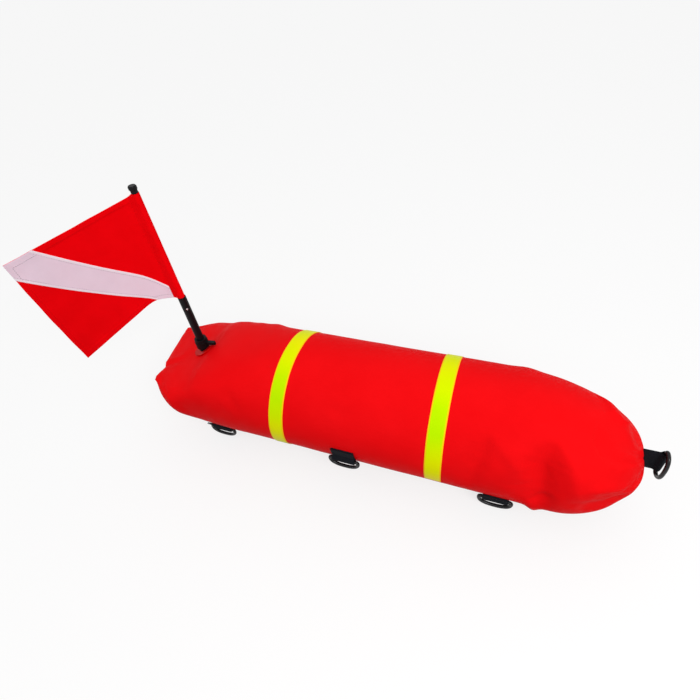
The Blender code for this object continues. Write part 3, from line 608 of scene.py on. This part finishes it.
def rod_ring(name, place, look, node):
    """D-ring of round rod: straight bar on local X, bow below, all corners rounded."""

    def corner(side, first, last):
        middle = side * (RING_HALF_WIDTH - RING_CORNER)
        return [(middle + RING_CORNER * cos(a), -RING_CORNER + RING_CORNER * sin(a))
                for a in np.radians(np.linspace(first, last, 7))]

    bow = []
    for a in np.linspace(0.0, pi, 57)[1:-1]:
        across = copysign(abs(cos(a)) ** RING_BOW_POWER, cos(a)) * RING_HALF_WIDTH
        bow.append((across, -RING_CORNER - (RING_DEPTH - RING_CORNER) * sin(a) ** RING_BOW_POWER))
    bar = [(-RING_HALF_WIDTH / 3, 0.0), (RING_HALF_WIDTH / 3, 0.0)]
    line = np.array(corner(1.0, 90.0, 0.0) + bow + corner(-1.0, 180.0, 90.0) + bar)
    tangent = np.roll(line, -1, axis=0) - np.roll(line, 1, axis=0)
    tangent /= np.linalg.norm(tangent, axis=1, keepdims=True)
    sides = 16
    points = []
    for (px, pz), (tx, tz) in zip(line, tangent):
        for t in np.arange(sides) * 2 * pi / sides:
            out, up = cos(t) * RING_ROD, sin(t) * RING_ROD
            points.append(tuple(place @ Vector((px + out * -tz, up, pz + out * tx))))
    index = np.arange(len(points)).reshape(-1, sides)
    piece = add_piece(name, points, tube_faces(index, closed=True), look, node)
    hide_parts(node)


def side_tabs(looks):
    for side_name, side in (("near", -1.0), ("far", 1.0)):
        for number, (x, angle) in enumerate(zip(TAB_XS, TAB_ANGLES), 1):
            centre = side_strap(f"{side_name}_webbing_{number}", x, angle, side, looks,
                                f"{side_name}_tab_{number}")
            rod_ring(f"{side_name}_d_ring_{number}", Matrix.Translation(Vector(centre)),
                     looks["ring_plastic"], f"{side_name}_ring_{number}")


def tow_end(looks):
    """Doubled webbing on edge at the tow end, and its ring."""
    level = AXIS_HEIGHT + TOW_TAB_RISE
    bar = TOW_SEAT_X + SEAT_GAP + TOW_TAB_LENGTH
    root = bar - TOW_TAB_LENGTH
    gap = WEBBING / 2 + 0.00005
    start, neck = root - TOW_TAB_ROOT, bar - 1.5 * LOOP_RADIUS
    near = [(x, -gap) for x in np.linspace(start, neck, 12)]
    turns = np.radians(np.linspace(-140.0, 140.0, 28))
    bow = [(bar + LOOP_RADIUS * cos(t), LOOP_RADIUS * sin(t)) for t in turns]
    far = [(x, gap) for x in np.linspace(neck, start, 12)]
    path = resampled(near + bow + far, 90)
    path = np.stack([path[:, 0], path[:, 1], np.full(len(path), level)], axis=1)
    piece = strap("tow_webbing", path, (0.0, 0.0, 1.0), looks["webbing"])
    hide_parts("tow_tab")
    rows = []
    half = TAB_WIDTH / 2 - STITCH_INSET
    for face in (-1.0, 1.0):
        for at in (root + 0.0035, root + 0.0115):
            zs = np.linspace(-half, half, 16) + level
            line = np.stack([np.full(16, at), np.full(16, face * (gap + WEBBING / 2)), zs], axis=1)
            rows.append((line, np.tile((0.0, face, 0.0), (16, 1))))
    thread = stitches("tow_webbing_stitches", rows, looks["thread"], "float")
    turn = Matrix.Rotation(radians(TOW_RING_TURN), 4, "Z") @ Matrix.Rotation(radians(-90.0), 4, "Y")
    place = Matrix.Translation((bar, 0.0, level)) @ turn
    rod_ring("tow_d_ring", place, looks["ring_plastic"], "tow_ring")


# Flag


def cloth_direction(along, up):
    """Way in which the cloth runs from the pole, at shares of its width and height."""
    hoist = 1.0 / (1.0 + np.exp((along - FOLD_SHARE) / FOLD_SOFTNESS_SHARE))

    def mixed(fly, hoists):
        a = fly[0] + (fly[1] - fly[0]) * up
        b = hoists[0] + (hoists[1] - hoists[0]) * up
        return np.radians(a + (b - a) * hoist)

    swing = mixed(FLY_SWINGS, HOIST_SWINGS)
    droop = mixed(FLY_DROOPS, HOIST_DROOPS)
    level = np.cos(droop)
    return np.stack([-level * np.cos(swing), -level * np.sin(swing), -np.sin(droop)], axis=-1)


def cloth_middle(along, up):
    """Points of the cloth's middle surface at shares of its width and height, with its ripples."""
    height = FLAG_BOTTOM_Z + FLAG_HEIGHT * up
    total = np.stack([np.full(up.shape, SOCKET_X), np.zeros(up.shape), height], axis=-1)
    for step in range(CLOTH_STEPS):
        way = cloth_direction(along * (step + 0.5) / CLOTH_STEPS, up)
        total = total + way * (FLAG_WIDTH * along / CLOTH_STEPS)[..., None]
    calm = np.clip((along - 0.06) / 0.25, 0.0, 1.0)
    edge = np.clip(np.abs(up - 0.5) * 2, 0.0, 1.0) ** 2
    wave = 0.0009 * np.sin(along * 17.0 + 2.0 * up) * (0.25 + edge)
    wave = wave + 0.0007 * np.sin(along * 31.0 - 5.0 * up + 1.0) * edge
    wave = wave + 0.0006 * np.sin(up * 23.0 + 3.0 * along) * along**2
    return total + FRONT * (wave * calm)[..., None]


def cloth_normal(along, up):
    reach = 0.004
    high = cloth_middle(along, np.minimum(up + reach, 1.0))
    low = cloth_middle(along, np.maximum(up - reach, 0.0))
    ahead = cloth_middle(np.minimum(along + reach, 1.0), up)
    behind = cloth_middle(np.maximum(along - reach, 0.001), up)
    normal = np.cross(high - low, ahead - behind)
    return normal / np.linalg.norm(normal, axis=-1, keepdims=True)


def band_edges(along):
    """Heights of the band's lower and upper edge, as shares of the flag's."""
    return BAND_LOW_SLOPE * (along - BAND_BOTTOM_SHARE), BAND_HOIST_SHARE + BAND_HIGH_SLOPE * along


def flag_layer(name, along, up, inside, outside, edge, look):
    """Layer of the flag between two heights over the cloth's middle."""
    middle = cloth_middle(along, up)
    normal = cloth_normal(along, up)
    places = np.stack([along * FLAG_WIDTH, up * FLAG_HEIGHT, edge], axis=-1)
    return sheet_solid(name, middle + normal * inside[..., None], middle + normal * outside[..., None],
                       places, look, "flag")


def flag_sheet(looks):
    """The flag's cloth, with hems folded double along its three free edges."""
    columns = np.unique(np.concatenate([np.linspace(0.03, 1.0, 96), [1 - 0.046, 1 - 0.043, 1 - 0.004]]))
    rows = np.unique(np.concatenate([np.linspace(0.0, 1.0, 84), [0.048, 0.051, 0.949, 0.952, 0.004, 0.996]]))
    along, up = np.meshgrid(columns, rows, indexing="ij")
    edge = np.minimum(np.minimum(up, 1 - up) * FLAG_HEIGHT, (1 - along) * FLAG_WIDTH)
    hem = np.clip((HEM - edge) / 0.0006, 0.0, 1.0)
    rounded = np.clip(edge / 0.0007, 0.0, 1.0) ** 0.5
    half = (CLOTH_HALF + CLOTH_HALF * hem) * (0.45 + 0.55 * rounded)
    sheet = flag_layer("flag_sheet", along, up, -half, half, edge, looks["flag_cloth"])
    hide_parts("flag_cloth")
    return sheet


def flag_sleeve(looks):
    """Part of the cloth that is folded round the pole and sewn to itself in a teardrop."""
    ups = np.linspace(0.0, 1.0, 60)
    alongs = np.full(60, SLEEVE_TIP_SHARE)
    outer, inner, places = [], [], []
    for up, tip, normal in zip(ups, cloth_middle(alongs, ups), cloth_normal(alongs, ups)):
        centre = np.array((SOCKET_X, 0.0, FLAG_BOTTOM_Z + FLAG_HEIGHT * up))

        def round_pole(angle, radius):
            return centre + radius * np.array((cos(angle), sin(angle), 0.0))

        away = tip - centre
        bearing = atan2(away[1], away[0])
        opening = acos(SLEEVE_RADIUS / hypot(away[0], away[1]))
        slack = 0.0003 * sin(up * 21.0) + 0.0002 * sin(up * 47.0 + 1.0)
        start, end = tip - normal * SLEEVE_TIP_HALF, tip + normal * SLEEVE_TIP_HALF
        first = round_pole(bearing + opening, SLEEVE_RADIUS + slack)
        last = round_pole(bearing - opening, SLEEVE_RADIUS + slack)
        steps = np.linspace(0.0, 1.0, 10)
        ring = [start + (first - start) * t for t in steps[:-1]]
        for a in np.linspace(bearing + opening, bearing + 2 * pi - opening, 40):
            ring.append(round_pole(a, SLEEVE_RADIUS + slack * abs(cos((a - bearing) / 2))))
        ring += [last + (end - last) * t for t in steps[1:]]
        count = len(ring)
        outer.append(ring)
        inner.append([round_pole(bearing + 2 * pi * (k + 0.5) / count, SLEEVE_RADIUS - SLEEVE_WALL)
                      for k in range(count)])
        places.append([(-0.02 + 0.036 * k / count, up * FLAG_HEIGHT, 0.01) for k in range(count)])
    piece = sheet_solid("flag_sleeve", np.array(inner), np.array(outer), np.array(places),
                        looks["flag_cloth"], "flag")
    return piece


def flag_band(name, node, side, looks):
    """White band across the flag, its long edges folded under."""
    columns = np.unique(np.concatenate([np.linspace(0.058, 1.0, 110), [BAND_BOTTOM_SHARE, BAND_TOP_SHARE]]))
    shares = np.array((0.0, 0.004, 0.018, 0.022, 0.05, 0.15, 0.3, 0.5,
                       0.7, 0.85, 0.95, 0.978, 0.982, 0.996, 1.0))
    along = np.repeat(columns[:, None], len(shares), axis=1)
    true_low, true_high = band_edges(along)
    low, high = np.maximum(true_low, 0.0), np.minimum(true_high, 1.0)
    up = low + (high - low) * shares
    to_high = (true_high - up) * FLAG_HEIGHT / hypot(1.0, BAND_HIGH_SLOPE * FLAG_HEIGHT / FLAG_WIDTH)
    to_low = (up - true_low) * FLAG_HEIGHT / hypot(1.0, BAND_LOW_SLOPE * FLAG_HEIGHT / FLAG_WIDTH)
    edge = np.minimum(to_high, to_low)
    rim = np.minimum(np.minimum(edge, (1.0 - along) * FLAG_WIDTH), np.minimum(up, 1.0 - up) * FLAG_HEIGHT)
    fold = np.clip((BAND_FOLD - edge) / 0.0006, 0.0, 1.0)
    near = np.full(along.shape, BAND_NEAR)
    rounded = np.clip(rim / 0.0005, 0.0, 1.0) ** 0.5
    far = near + (BAND_THICK + BAND_FOLD_RISE * fold) * (0.5 + 0.5 * rounded)
    inside, outside = (near, far) if side > 0 else (-far, -near)
    piece = flag_layer(name, along, up, inside, outside, np.minimum(edge, 0.05), looks["flag_white"])
    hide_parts(node)
    return piece


def cloth_line(places, height):
    """Points and normals along a line of (along, up) places, off the cloth by height."""
    normal = cloth_normal(places[:, 0], places[:, 1])
    return cloth_middle(places[:, 0], places[:, 1]) + normal * height, normal * copysign(1.0, height)


def flag_stitching(looks):
    """Thread along the hems, the sleeve and the band's long edges, on both faces."""
    a, b = 1 - HEM_THREAD / FLAG_WIDTH, HEM_THREAD / FLAG_HEIGHT
    steps = np.linspace(0.0, 1.0, 50)

    def run(x0, y0, x1, y1):
        return np.stack([x0 + (x1 - x0) * steps, y0 + (y1 - y0) * steps], axis=1)

    hems = (run(0.06, b, a, b), run(a, b, a, 1 - b), run(a, 1 - b, 0.06, 1 - b),
            run(0.056, 0.01, 0.056, 0.99))
    red, grey = [], []
    for side in (1.0, -1.0):
        for line in hems:
            low, high = band_edges(line[:, 0])
            white = (line[:, 1] > low) & (line[:, 1] < high)
            for keep, rows, height in ((~white, red, 0.00046), (white, grey, 0.00092)):
                groups = np.split(np.arange(len(line)), np.nonzero(np.diff(keep.astype(int)))[0] + 1)
                for group in groups:
                    if len(group) > 2 and keep[group[0]]:
                        rows.append(cloth_line(line[group], side * height))
        columns = np.linspace(0.06, 0.995, 80)
        for edge, slope, inward in zip(band_edges(columns), (BAND_LOW_SLOPE, BAND_HIGH_SLOPE), (1.0, -1.0)):
            shift = BAND_THREAD * hypot(1.0, slope * FLAG_HEIGHT / FLAG_WIDTH) / FLAG_HEIGHT
            ups = edge + inward * shift
            line = np.stack([columns, ups], axis=1)[(ups > 0.01) & (ups < 0.99)]
            grey.append(cloth_line(line, side * 0.00092))
    sizes = {"pitch": 0.003, "length": 0.0022, "height": 0.00025}
    pieces = [stitches("flag_red_stitches", red, looks["red_thread"], "flag", width=0.0005, **sizes)]
    pieces.append(stitches("flag_band_stitches", grey, looks["grey_thread"], "flag", width=0.0006, **sizes))
    return pieces


def flag(looks):
    sheet = flag_sheet(looks)
    sleeve = flag_sleeve(looks)
    front = flag_band("flag_white_front", "flag_band_front", 1.0, looks)
    back = flag_band("flag_white_back", "flag_band_back", -1.0, looks)
    thread = flag_stitching(looks)


# Materials


WHITE = (1.0, 1.0, 1.0)
BLACK = (0.0, 0.0, 0.0)
CM = 100.0


def fill(tree, node, inputs):
    """Puts a value or a linked output on each input that is named or numbered."""
    for key, value in inputs.items():
        if isinstance(value, bpy.types.NodeSocket):
            tree.links.new(value, node.inputs[key])
        else:
            node.inputs[key].default_value = value


def add_node(tree, kind, inputs, **settings):
    node = tree.nodes.new(kind)
    for key, value in settings.items():
        setattr(node, key, value)
    fill(tree, node, inputs)
    return node


def new_look(name, roughness, specular, colour, tint=WHITE, metallic=0.0):
    look = bpy.data.materials.new(name)
    look.use_nodes = True
    look.diffuse_color = (*colour, 1.0)
    shader = look.node_tree.nodes["Principled BSDF"]
    fill(look.node_tree, shader, {
        "Base Color": (*colour, 1.0), "Roughness": roughness, "Specular IOR Level": specular,
        "Metallic": metallic, "Specular Tint": (*tint, 1.0)})
    return look, look.node_tree, shader


def math_node(tree, operation, *values):
    return add_node(tree, "ShaderNodeMath", dict(enumerate(values)), operation=operation).outputs[0]


def mix_colours(tree, share, first, second):
    return add_node(tree, "ShaderNodeMix", {0: share, 6: first, 7: second}, data_type="RGBA").outputs[2]


def ramp(tree, value, *stops):
    node = add_node(tree, "ShaderNodeValToRGB", {0: value})
    elements = node.color_ramp.elements
    while len(elements) < len(stops):
        elements.new(0.5)
    for element, (place, colour) in zip(elements, stops):
        element.position = place
        element.color = (*colour, 1.0)
    return node.outputs["Color"]


def noise(tree, scale, detail, roughness=0.5):
    where = tree.nodes.new("ShaderNodeTexCoord").outputs["Object"]
    inputs = {"Scale": scale, "Detail": detail, "Roughness": roughness, "Vector": where}
    return add_node(tree, "ShaderNodeTexNoise", inputs).outputs["Fac"]


def cloth_place(tree):
    """Cloth coordinates in metres, one by one and together. The third is the distance from an edge."""
    place = add_node(tree, "ShaderNodeAttribute", {}, attribute_name="cloth").outputs["Vector"]
    apart = add_node(tree, "ShaderNodeSeparateXYZ", {0: place})
    return apart.outputs["X"], apart.outputs["Y"], apart.outputs["Z"], place


def bump(tree, height, distance, strength, **under):
    inputs = {"Distance": distance, "Strength": strength, "Height": height, **under}
    return add_node(tree, "ShaderNodeBump", inputs).outputs["Normal"]


def wave(tree, value, pitch):
    return math_node(tree, "SINE", math_node(tree, "MULTIPLY", value, 2 * pi / pitch))


def woven(tree, pitch, depth, creases, crease_depth, crease_strength):
    """Normal of a plain weave, its threads over and under in both directions, with soft creases."""
    u, v, _, _ = cloth_place(tree)
    weave = math_node(tree, "MULTIPLY", wave(tree, u, pitch), wave(tree, v, pitch))
    normal = bump(tree, weave, depth, 0.5)
    return bump(tree, creases, crease_depth, crease_strength, Normal=normal)


def bordered(tree, main, border, start, end):
    """Colour that is the border's within start of an edge, and its own beyond end."""
    _, _, edge, _ = cloth_place(tree)
    share = ramp(tree, math_node(tree, "MULTIPLY", edge, CM), (start * CM, WHITE), (end * CM, BLACK))
    return mix_colours(tree, share, main, (*border, 1.0))


def uneven(tree, scale, low, high, detail=3.0):
    """Roughness that drifts between two values."""
    inputs = {"To Min": low, "To Max": high, "Value": noise(tree, scale, detail)}
    return add_node(tree, "ShaderNodeMapRange", inputs).outputs["Result"]


def cover_look():
    look, tree, shader = new_look("cover_fabric", 0.45, 0.015, (0.82, 0.004, 0.006), (1.0, 0.16, 0.26))
    mottle = noise(tree, 14.0, 4.0, 0.6)
    fill(tree, shader, {
        "Base Color": ramp(tree, mottle, (0.25, (0.79, 0.0034, 0.0052)), (0.75, (0.85, 0.0046, 0.0068))),
        "Roughness": uneven(tree, 60.0, 0.42, 0.56),
        "Normal": woven(tree, 0.0009, 0.00005, noise(tree, 42.0, 5.0, 0.62), 0.0016, 0.35)})
    return look


def flag_cloth_look():
    look, tree, shader = new_look("flag_nylon", 0.6, 0.02, (0.94, 0.0012, 0.004), (1.0, 0.2, 0.3))
    mottle = noise(tree, 30.0, 4.0, 0.6)
    fill(tree, shader, {
        "Base Color": ramp(tree, mottle, (0.25, (0.91, 0.001, 0.0034)), (0.75, (0.97, 0.0014, 0.0046))),
        "Roughness": uneven(tree, 80.0, 0.5, 0.66),
        "Normal": woven(tree, 0.0008, 0.00006, noise(tree, 70.0, 4.0, 0.6), 0.0008, 0.3)})
    return look


def flag_white_look():
    look, tree, shader = new_look("flag_band_nylon", 0.6, 0.05, (0.91, 0.71, 0.83))
    main = ramp(tree, noise(tree, 36.0, 4.0, 0.6), (0.2, (0.88, 0.68, 0.8)), (0.8, (0.94, 0.74, 0.86)))
    fill(tree, shader, {
        "Base Color": bordered(tree, main, (0.96, 0.84, 0.92), 0.0024, 0.004),
        "Roughness": uneven(tree, 80.0, 0.5, 0.66),
        "Normal": woven(tree, 0.0008, 0.00006, noise(tree, 80.0, 4.0, 0.6), 0.0007, 0.3)})
    return look


def tape_look():
    look, tree, shader = new_look("reflective_tape", 0.35, 0.03, (0.62, 0.84, 0.0), (1.0, 1.0, 0.2))
    _, v, _, place = cloth_place(tree)
    # Yellow at both ends of the tape and green in its middle, with a drift of both over it. The green middle
    # lies on the arc that faces the lamp and is painted sheen over the tape's own yellow-green.
    sheen_tint = ramp(tree, math_node(tree, "MULTIPLY", v, 2.5),
                 (0.34, (0.92, 0.8, 0.0)), (0.46, (0.72, 0.84, 0.0)), (0.53, (0.42, 0.82, 0.0)),
                 (0.62, (0.4, 0.8, 0.0)), (0.74, (0.86, 0.82, 0.0)), (0.84, (1.0, 0.8, 0.0)))
    drift = ramp(tree, noise(tree, 9.0, 2.0), (0.35, (0.54, 0.84, 0.0)), (0.65, (0.82, 0.84, 0.0)))
    # Half the colour is the painted sheen by arc, half the tape's own drift of tone
    main = mix_colours(tree, 0.5, drift, sheen_tint)
    cells = add_node(tree, "ShaderNodeTexVoronoi", {"Scale": 420.0, "Randomness": 0.15, "Vector": place},
                     feature="DISTANCE_TO_EDGE")
    raised = ramp(tree, cells.outputs["Distance"], (0.0, BLACK), (0.12, WHITE))
    fill(tree, shader, {
        "Base Color": bordered(tree, main, (0.95, 0.6, 0.008), 0.0014, 0.0024),
        "Roughness": uneven(tree, 120.0, 0.28, 0.42, 2.0),
        "Normal": bump(tree, raised, 0.00008, 0.5)})
    return look


def toned(tree, value, colour, *stops):
    """Ramp of one colour, lighter or darker by a factor at each stop."""
    return ramp(tree, value, *((place, tuple(c * factor for c in colour)) for place, factor in stops))


def webbing_look():
    colour = (0.006, 0.007, 0.01)
    look, tree, shader = new_look("webbing_weave", 0.75, 0.08, colour)
    u, v, _, _ = cloth_place(tree)
    # Slanting ribs that swing from side to side over the width, with fine yarns along them
    slant = math_node(tree, "ADD", math_node(tree, "MULTIPLY", v, 2 * pi / 0.0016), wave(tree, u, 0.006))
    yarns = math_node(tree, "MULTIPLY", wave(tree, u, 0.0011), 0.5)
    height = math_node(tree, "ADD", math_node(tree, "SINE", slant), yarns)
    fill(tree, shader, {
        "Base Color": toned(tree, noise(tree, 400.0, 3.0, 0.7), colour, (0.3, 0.7), (0.75, 1.5)),
        "Normal": bump(tree, height, 0.00012, 0.7)})
    return look


def moulded_look(name, colour, roughness, specular):
    """Moulded plastic: fine grain, softened edges and small changes of tone."""
    look, tree, shader = new_look(name, roughness, specular, colour)
    soft = add_node(tree, "ShaderNodeBevel", {"Radius": 0.0004}, samples=4).outputs["Normal"]
    fill(tree, shader, {
        "Base Color": toned(tree, noise(tree, 55.0, 3.0, 0.6), colour, (0.25, 0.8), (0.75, 1.2)),
        "Roughness": uneven(tree, 130.0, roughness * 0.85, roughness * 1.15),
        "Normal": bump(tree, noise(tree, 900.0, 2.0), 0.00006, 0.4, Normal=soft)})
    return look


def metal_look():
    look, tree, shader = new_look("rivet_steel", 0.3, 0.5, (0.62, 0.62, 0.63), metallic=1.0)
    fill(tree, shader, {
        "Roughness": uneven(tree, 500.0, 0.22, 0.4),
        "Normal": bump(tree, noise(tree, 900.0, 3.0), 0.00003, 0.4)})
    return look


# Moulded looks: name, colour, roughness and specular level
MOULDED = {
    "thread": ("black_thread", (0.014, 0.014, 0.017), 0.7, 0.12),
    "red_thread": ("red_thread", (0.6, 0.0015, 0.003), 0.7, 0.08),
    "grey_thread": ("grey_thread", (0.34, 0.3, 0.34), 0.7, 0.2),
    "ring_plastic": ("ring_gloss", (0.007, 0.007, 0.008), 0.26, 0.26),
    "red_plastic": ("red_weld", (0.5, 0.0015, 0.002), 0.42, 0.08),
    "black_plastic": ("collar_plastic", (0.004, 0.004, 0.005), 0.45, 0.14),
    "black_rubber": ("gland_rubber", (0.015, 0.015, 0.016), 0.7, 0.25),
    "grey_plastic": ("valve_grey", (0.1, 0.1, 0.11), 0.45, 0.4),
    "black_fibre": ("pole_fibre", (0.004, 0.004, 0.005), 0.42, 0.12),
    "bladder_film": ("bladder_film", (0.25, 0.26, 0.28), 0.4, 0.4),
}


def make_looks():
    looks = {"cover": cover_look(), "flag_cloth": flag_cloth_look(), "flag_white": flag_white_look(),
             "tape": tape_look(), "webbing": webbing_look(), "bright_steel": metal_look()}
    looks.update((key, moulded_look(*values)) for key, values in MOULDED.items())
    return looks


# Solids that keep their own mesh, by look
NODE_LOOKS = {
    "red_plastic": ("socket_flange",),
    "black_plastic": ("socket_stem", "lock_collar", "pole_knob", "valve_flange", "valve_stem"),
    "black_rubber": ("gland_ring", "valve_flap", "valve_mouthpiece"),
    "black_fibre": ("pole_tube", "pole_rod"),
    "bright_steel": ("pole_rivet",),
    "grey_plastic": ("valve_lock_ring",),
}


def dress_nodes(looks):
    for look, nodes in NODE_LOOKS.items():
        for node in nodes:
            for place in NODES[node].material_slots:
                place.material = looks[look]


# Stage


# Camera fitted to the photograph: its place, its azimuth, elevation and roll, and its focal length in
# pixels of the image
CAMERA_PLACE = (0.2081, -0.4571, 0.6984)
CAMERA_ANGLES = (25.82, 43.72, -8.32)
FOCAL_PIXELS = 460.0
IMAGE_PIXELS = 700.0
SENSOR = 36.0


def camera():
    data = bpy.data.cameras.new("photo_camera")
    data.sensor_width = SENSOR
    data.lens = SENSOR * FOCAL_PIXELS / IMAGE_PIXELS
    data.clip_start = 0.01
    data.clip_end = 200.0
    azimuth, elevation, roll = (radians(a) for a in CAMERA_ANGLES)
    back = Vector((sin(azimuth) * cos(elevation), -cos(azimuth) * cos(elevation), sin(elevation)))
    level = Vector((cos(azimuth), sin(azimuth), 0.0))
    upright = back.cross(level)
    right = level * cos(roll) + upright * sin(roll)
    up = upright * cos(roll) - level * sin(roll)
    obj = new_object("photo_camera", data)
    rows = [(right[i], up[i], back[i], CAMERA_PLACE[i]) for i in range(3)]
    obj.matrix_world = Matrix((*rows, (0.0, 0.0, 0.0, 1.0)))
    bpy.context.scene.camera = obj


def key_light():
    data = bpy.data.lights.new("key", "AREA")
    data.shape = "RECTANGLE"
    data.size = 0.8
    data.size_y = 0.6
    data.energy = 14.0
    aim = Vector((0.54, -0.54, 0.64)).normalized()
    place = Matrix.Translation(Vector((0.0, 0.0, 0.1)) + aim * 1.8)
    new_object("key", data).matrix_world = place @ aim.to_track_quat("Z", "Y").to_matrix().to_4x4()


def shade_by_ray(tree, others, seen, output):
    """One shader for the rays that show a surface to the camera, and another for all the others."""
    path = tree.nodes.new("ShaderNodeLightPath")
    first = math_node(tree, "MAXIMUM", path.outputs["Is Camera Ray"], path.outputs["Is Glossy Ray"])
    share = math_node(tree, "MAXIMUM", first, path.outputs["Is Transmission Ray"])
    mix = add_node(tree, "ShaderNodeMixShader", {0: share, 1: others.outputs[0], 2: seen.outputs[0]})
    add_node(tree, output, {0: mix.outputs[0]})


def flat_shader(tree, kind, level, **inputs):
    """Shader of one even grey."""
    return add_node(tree, kind, {"Color": (level, level, level, 1.0), **inputs})


def world():
    made = bpy.data.worlds.new("studio")
    bpy.context.scene.world = made
    made.use_nodes = True
    tree = made.node_tree
    tree.nodes.clear()
    soft = flat_shader(tree, "ShaderNodeBackground", 1.0, Strength=0.81)
    white = flat_shader(tree, "ShaderNodeBackground", 1.0, Strength=1.0)
    shade_by_ray(tree, soft, white, "ShaderNodeOutputWorld")


def floor():
    """Paper that looks nearly white and takes a soft shadow, and throws little light on the float."""
    size = 60.0
    mesh = bpy.data.meshes.new("studio_floor")
    corners = [(-size, -size, 0), (size, -size, 0), (size, size, 0), (-size, size, 0)]
    mesh.from_pydata(corners, [], [(0, 1, 2, 3)])
    obj = new_object("studio_floor", mesh)
    look = bpy.data.materials.new("studio_floor")
    look.use_nodes = True
    tree = look.node_tree
    tree.nodes.clear()
    dull = flat_shader(tree, "ShaderNodeBsdfDiffuse", 0.17)
    paper = flat_shader(tree, "ShaderNodeBsdfDiffuse", 0.88)
    white = flat_shader(tree, "ShaderNodeEmission", 1.0, Strength=1.0)
    seen = add_node(tree, "ShaderNodeMixShader", {0: 0.75, 1: paper.outputs[0], 2: white.outputs[0]})
    shade_by_ray(tree, dull, seen, "ShaderNodeOutputMaterial")
    mesh.materials.append(look)


def main():
    bpy.context.scene.view_settings.view_transform = "Standard"
    camera()
    world()
    floor()
    key_light()
    looks = make_looks()
    dress_nodes(looks)
    cover_skin(looks["cover"])
    bladder_skin(looks["bladder_film"])
    for name, centre, below, creeps in TAPES:
        piece = tape(f"tape_band_{name}", centre, below, creeps, looks["tape"])
        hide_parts(f"tape_{name}")
    side_tabs(looks)
    tow_end(looks)
    flag(looks)
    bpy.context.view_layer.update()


main()
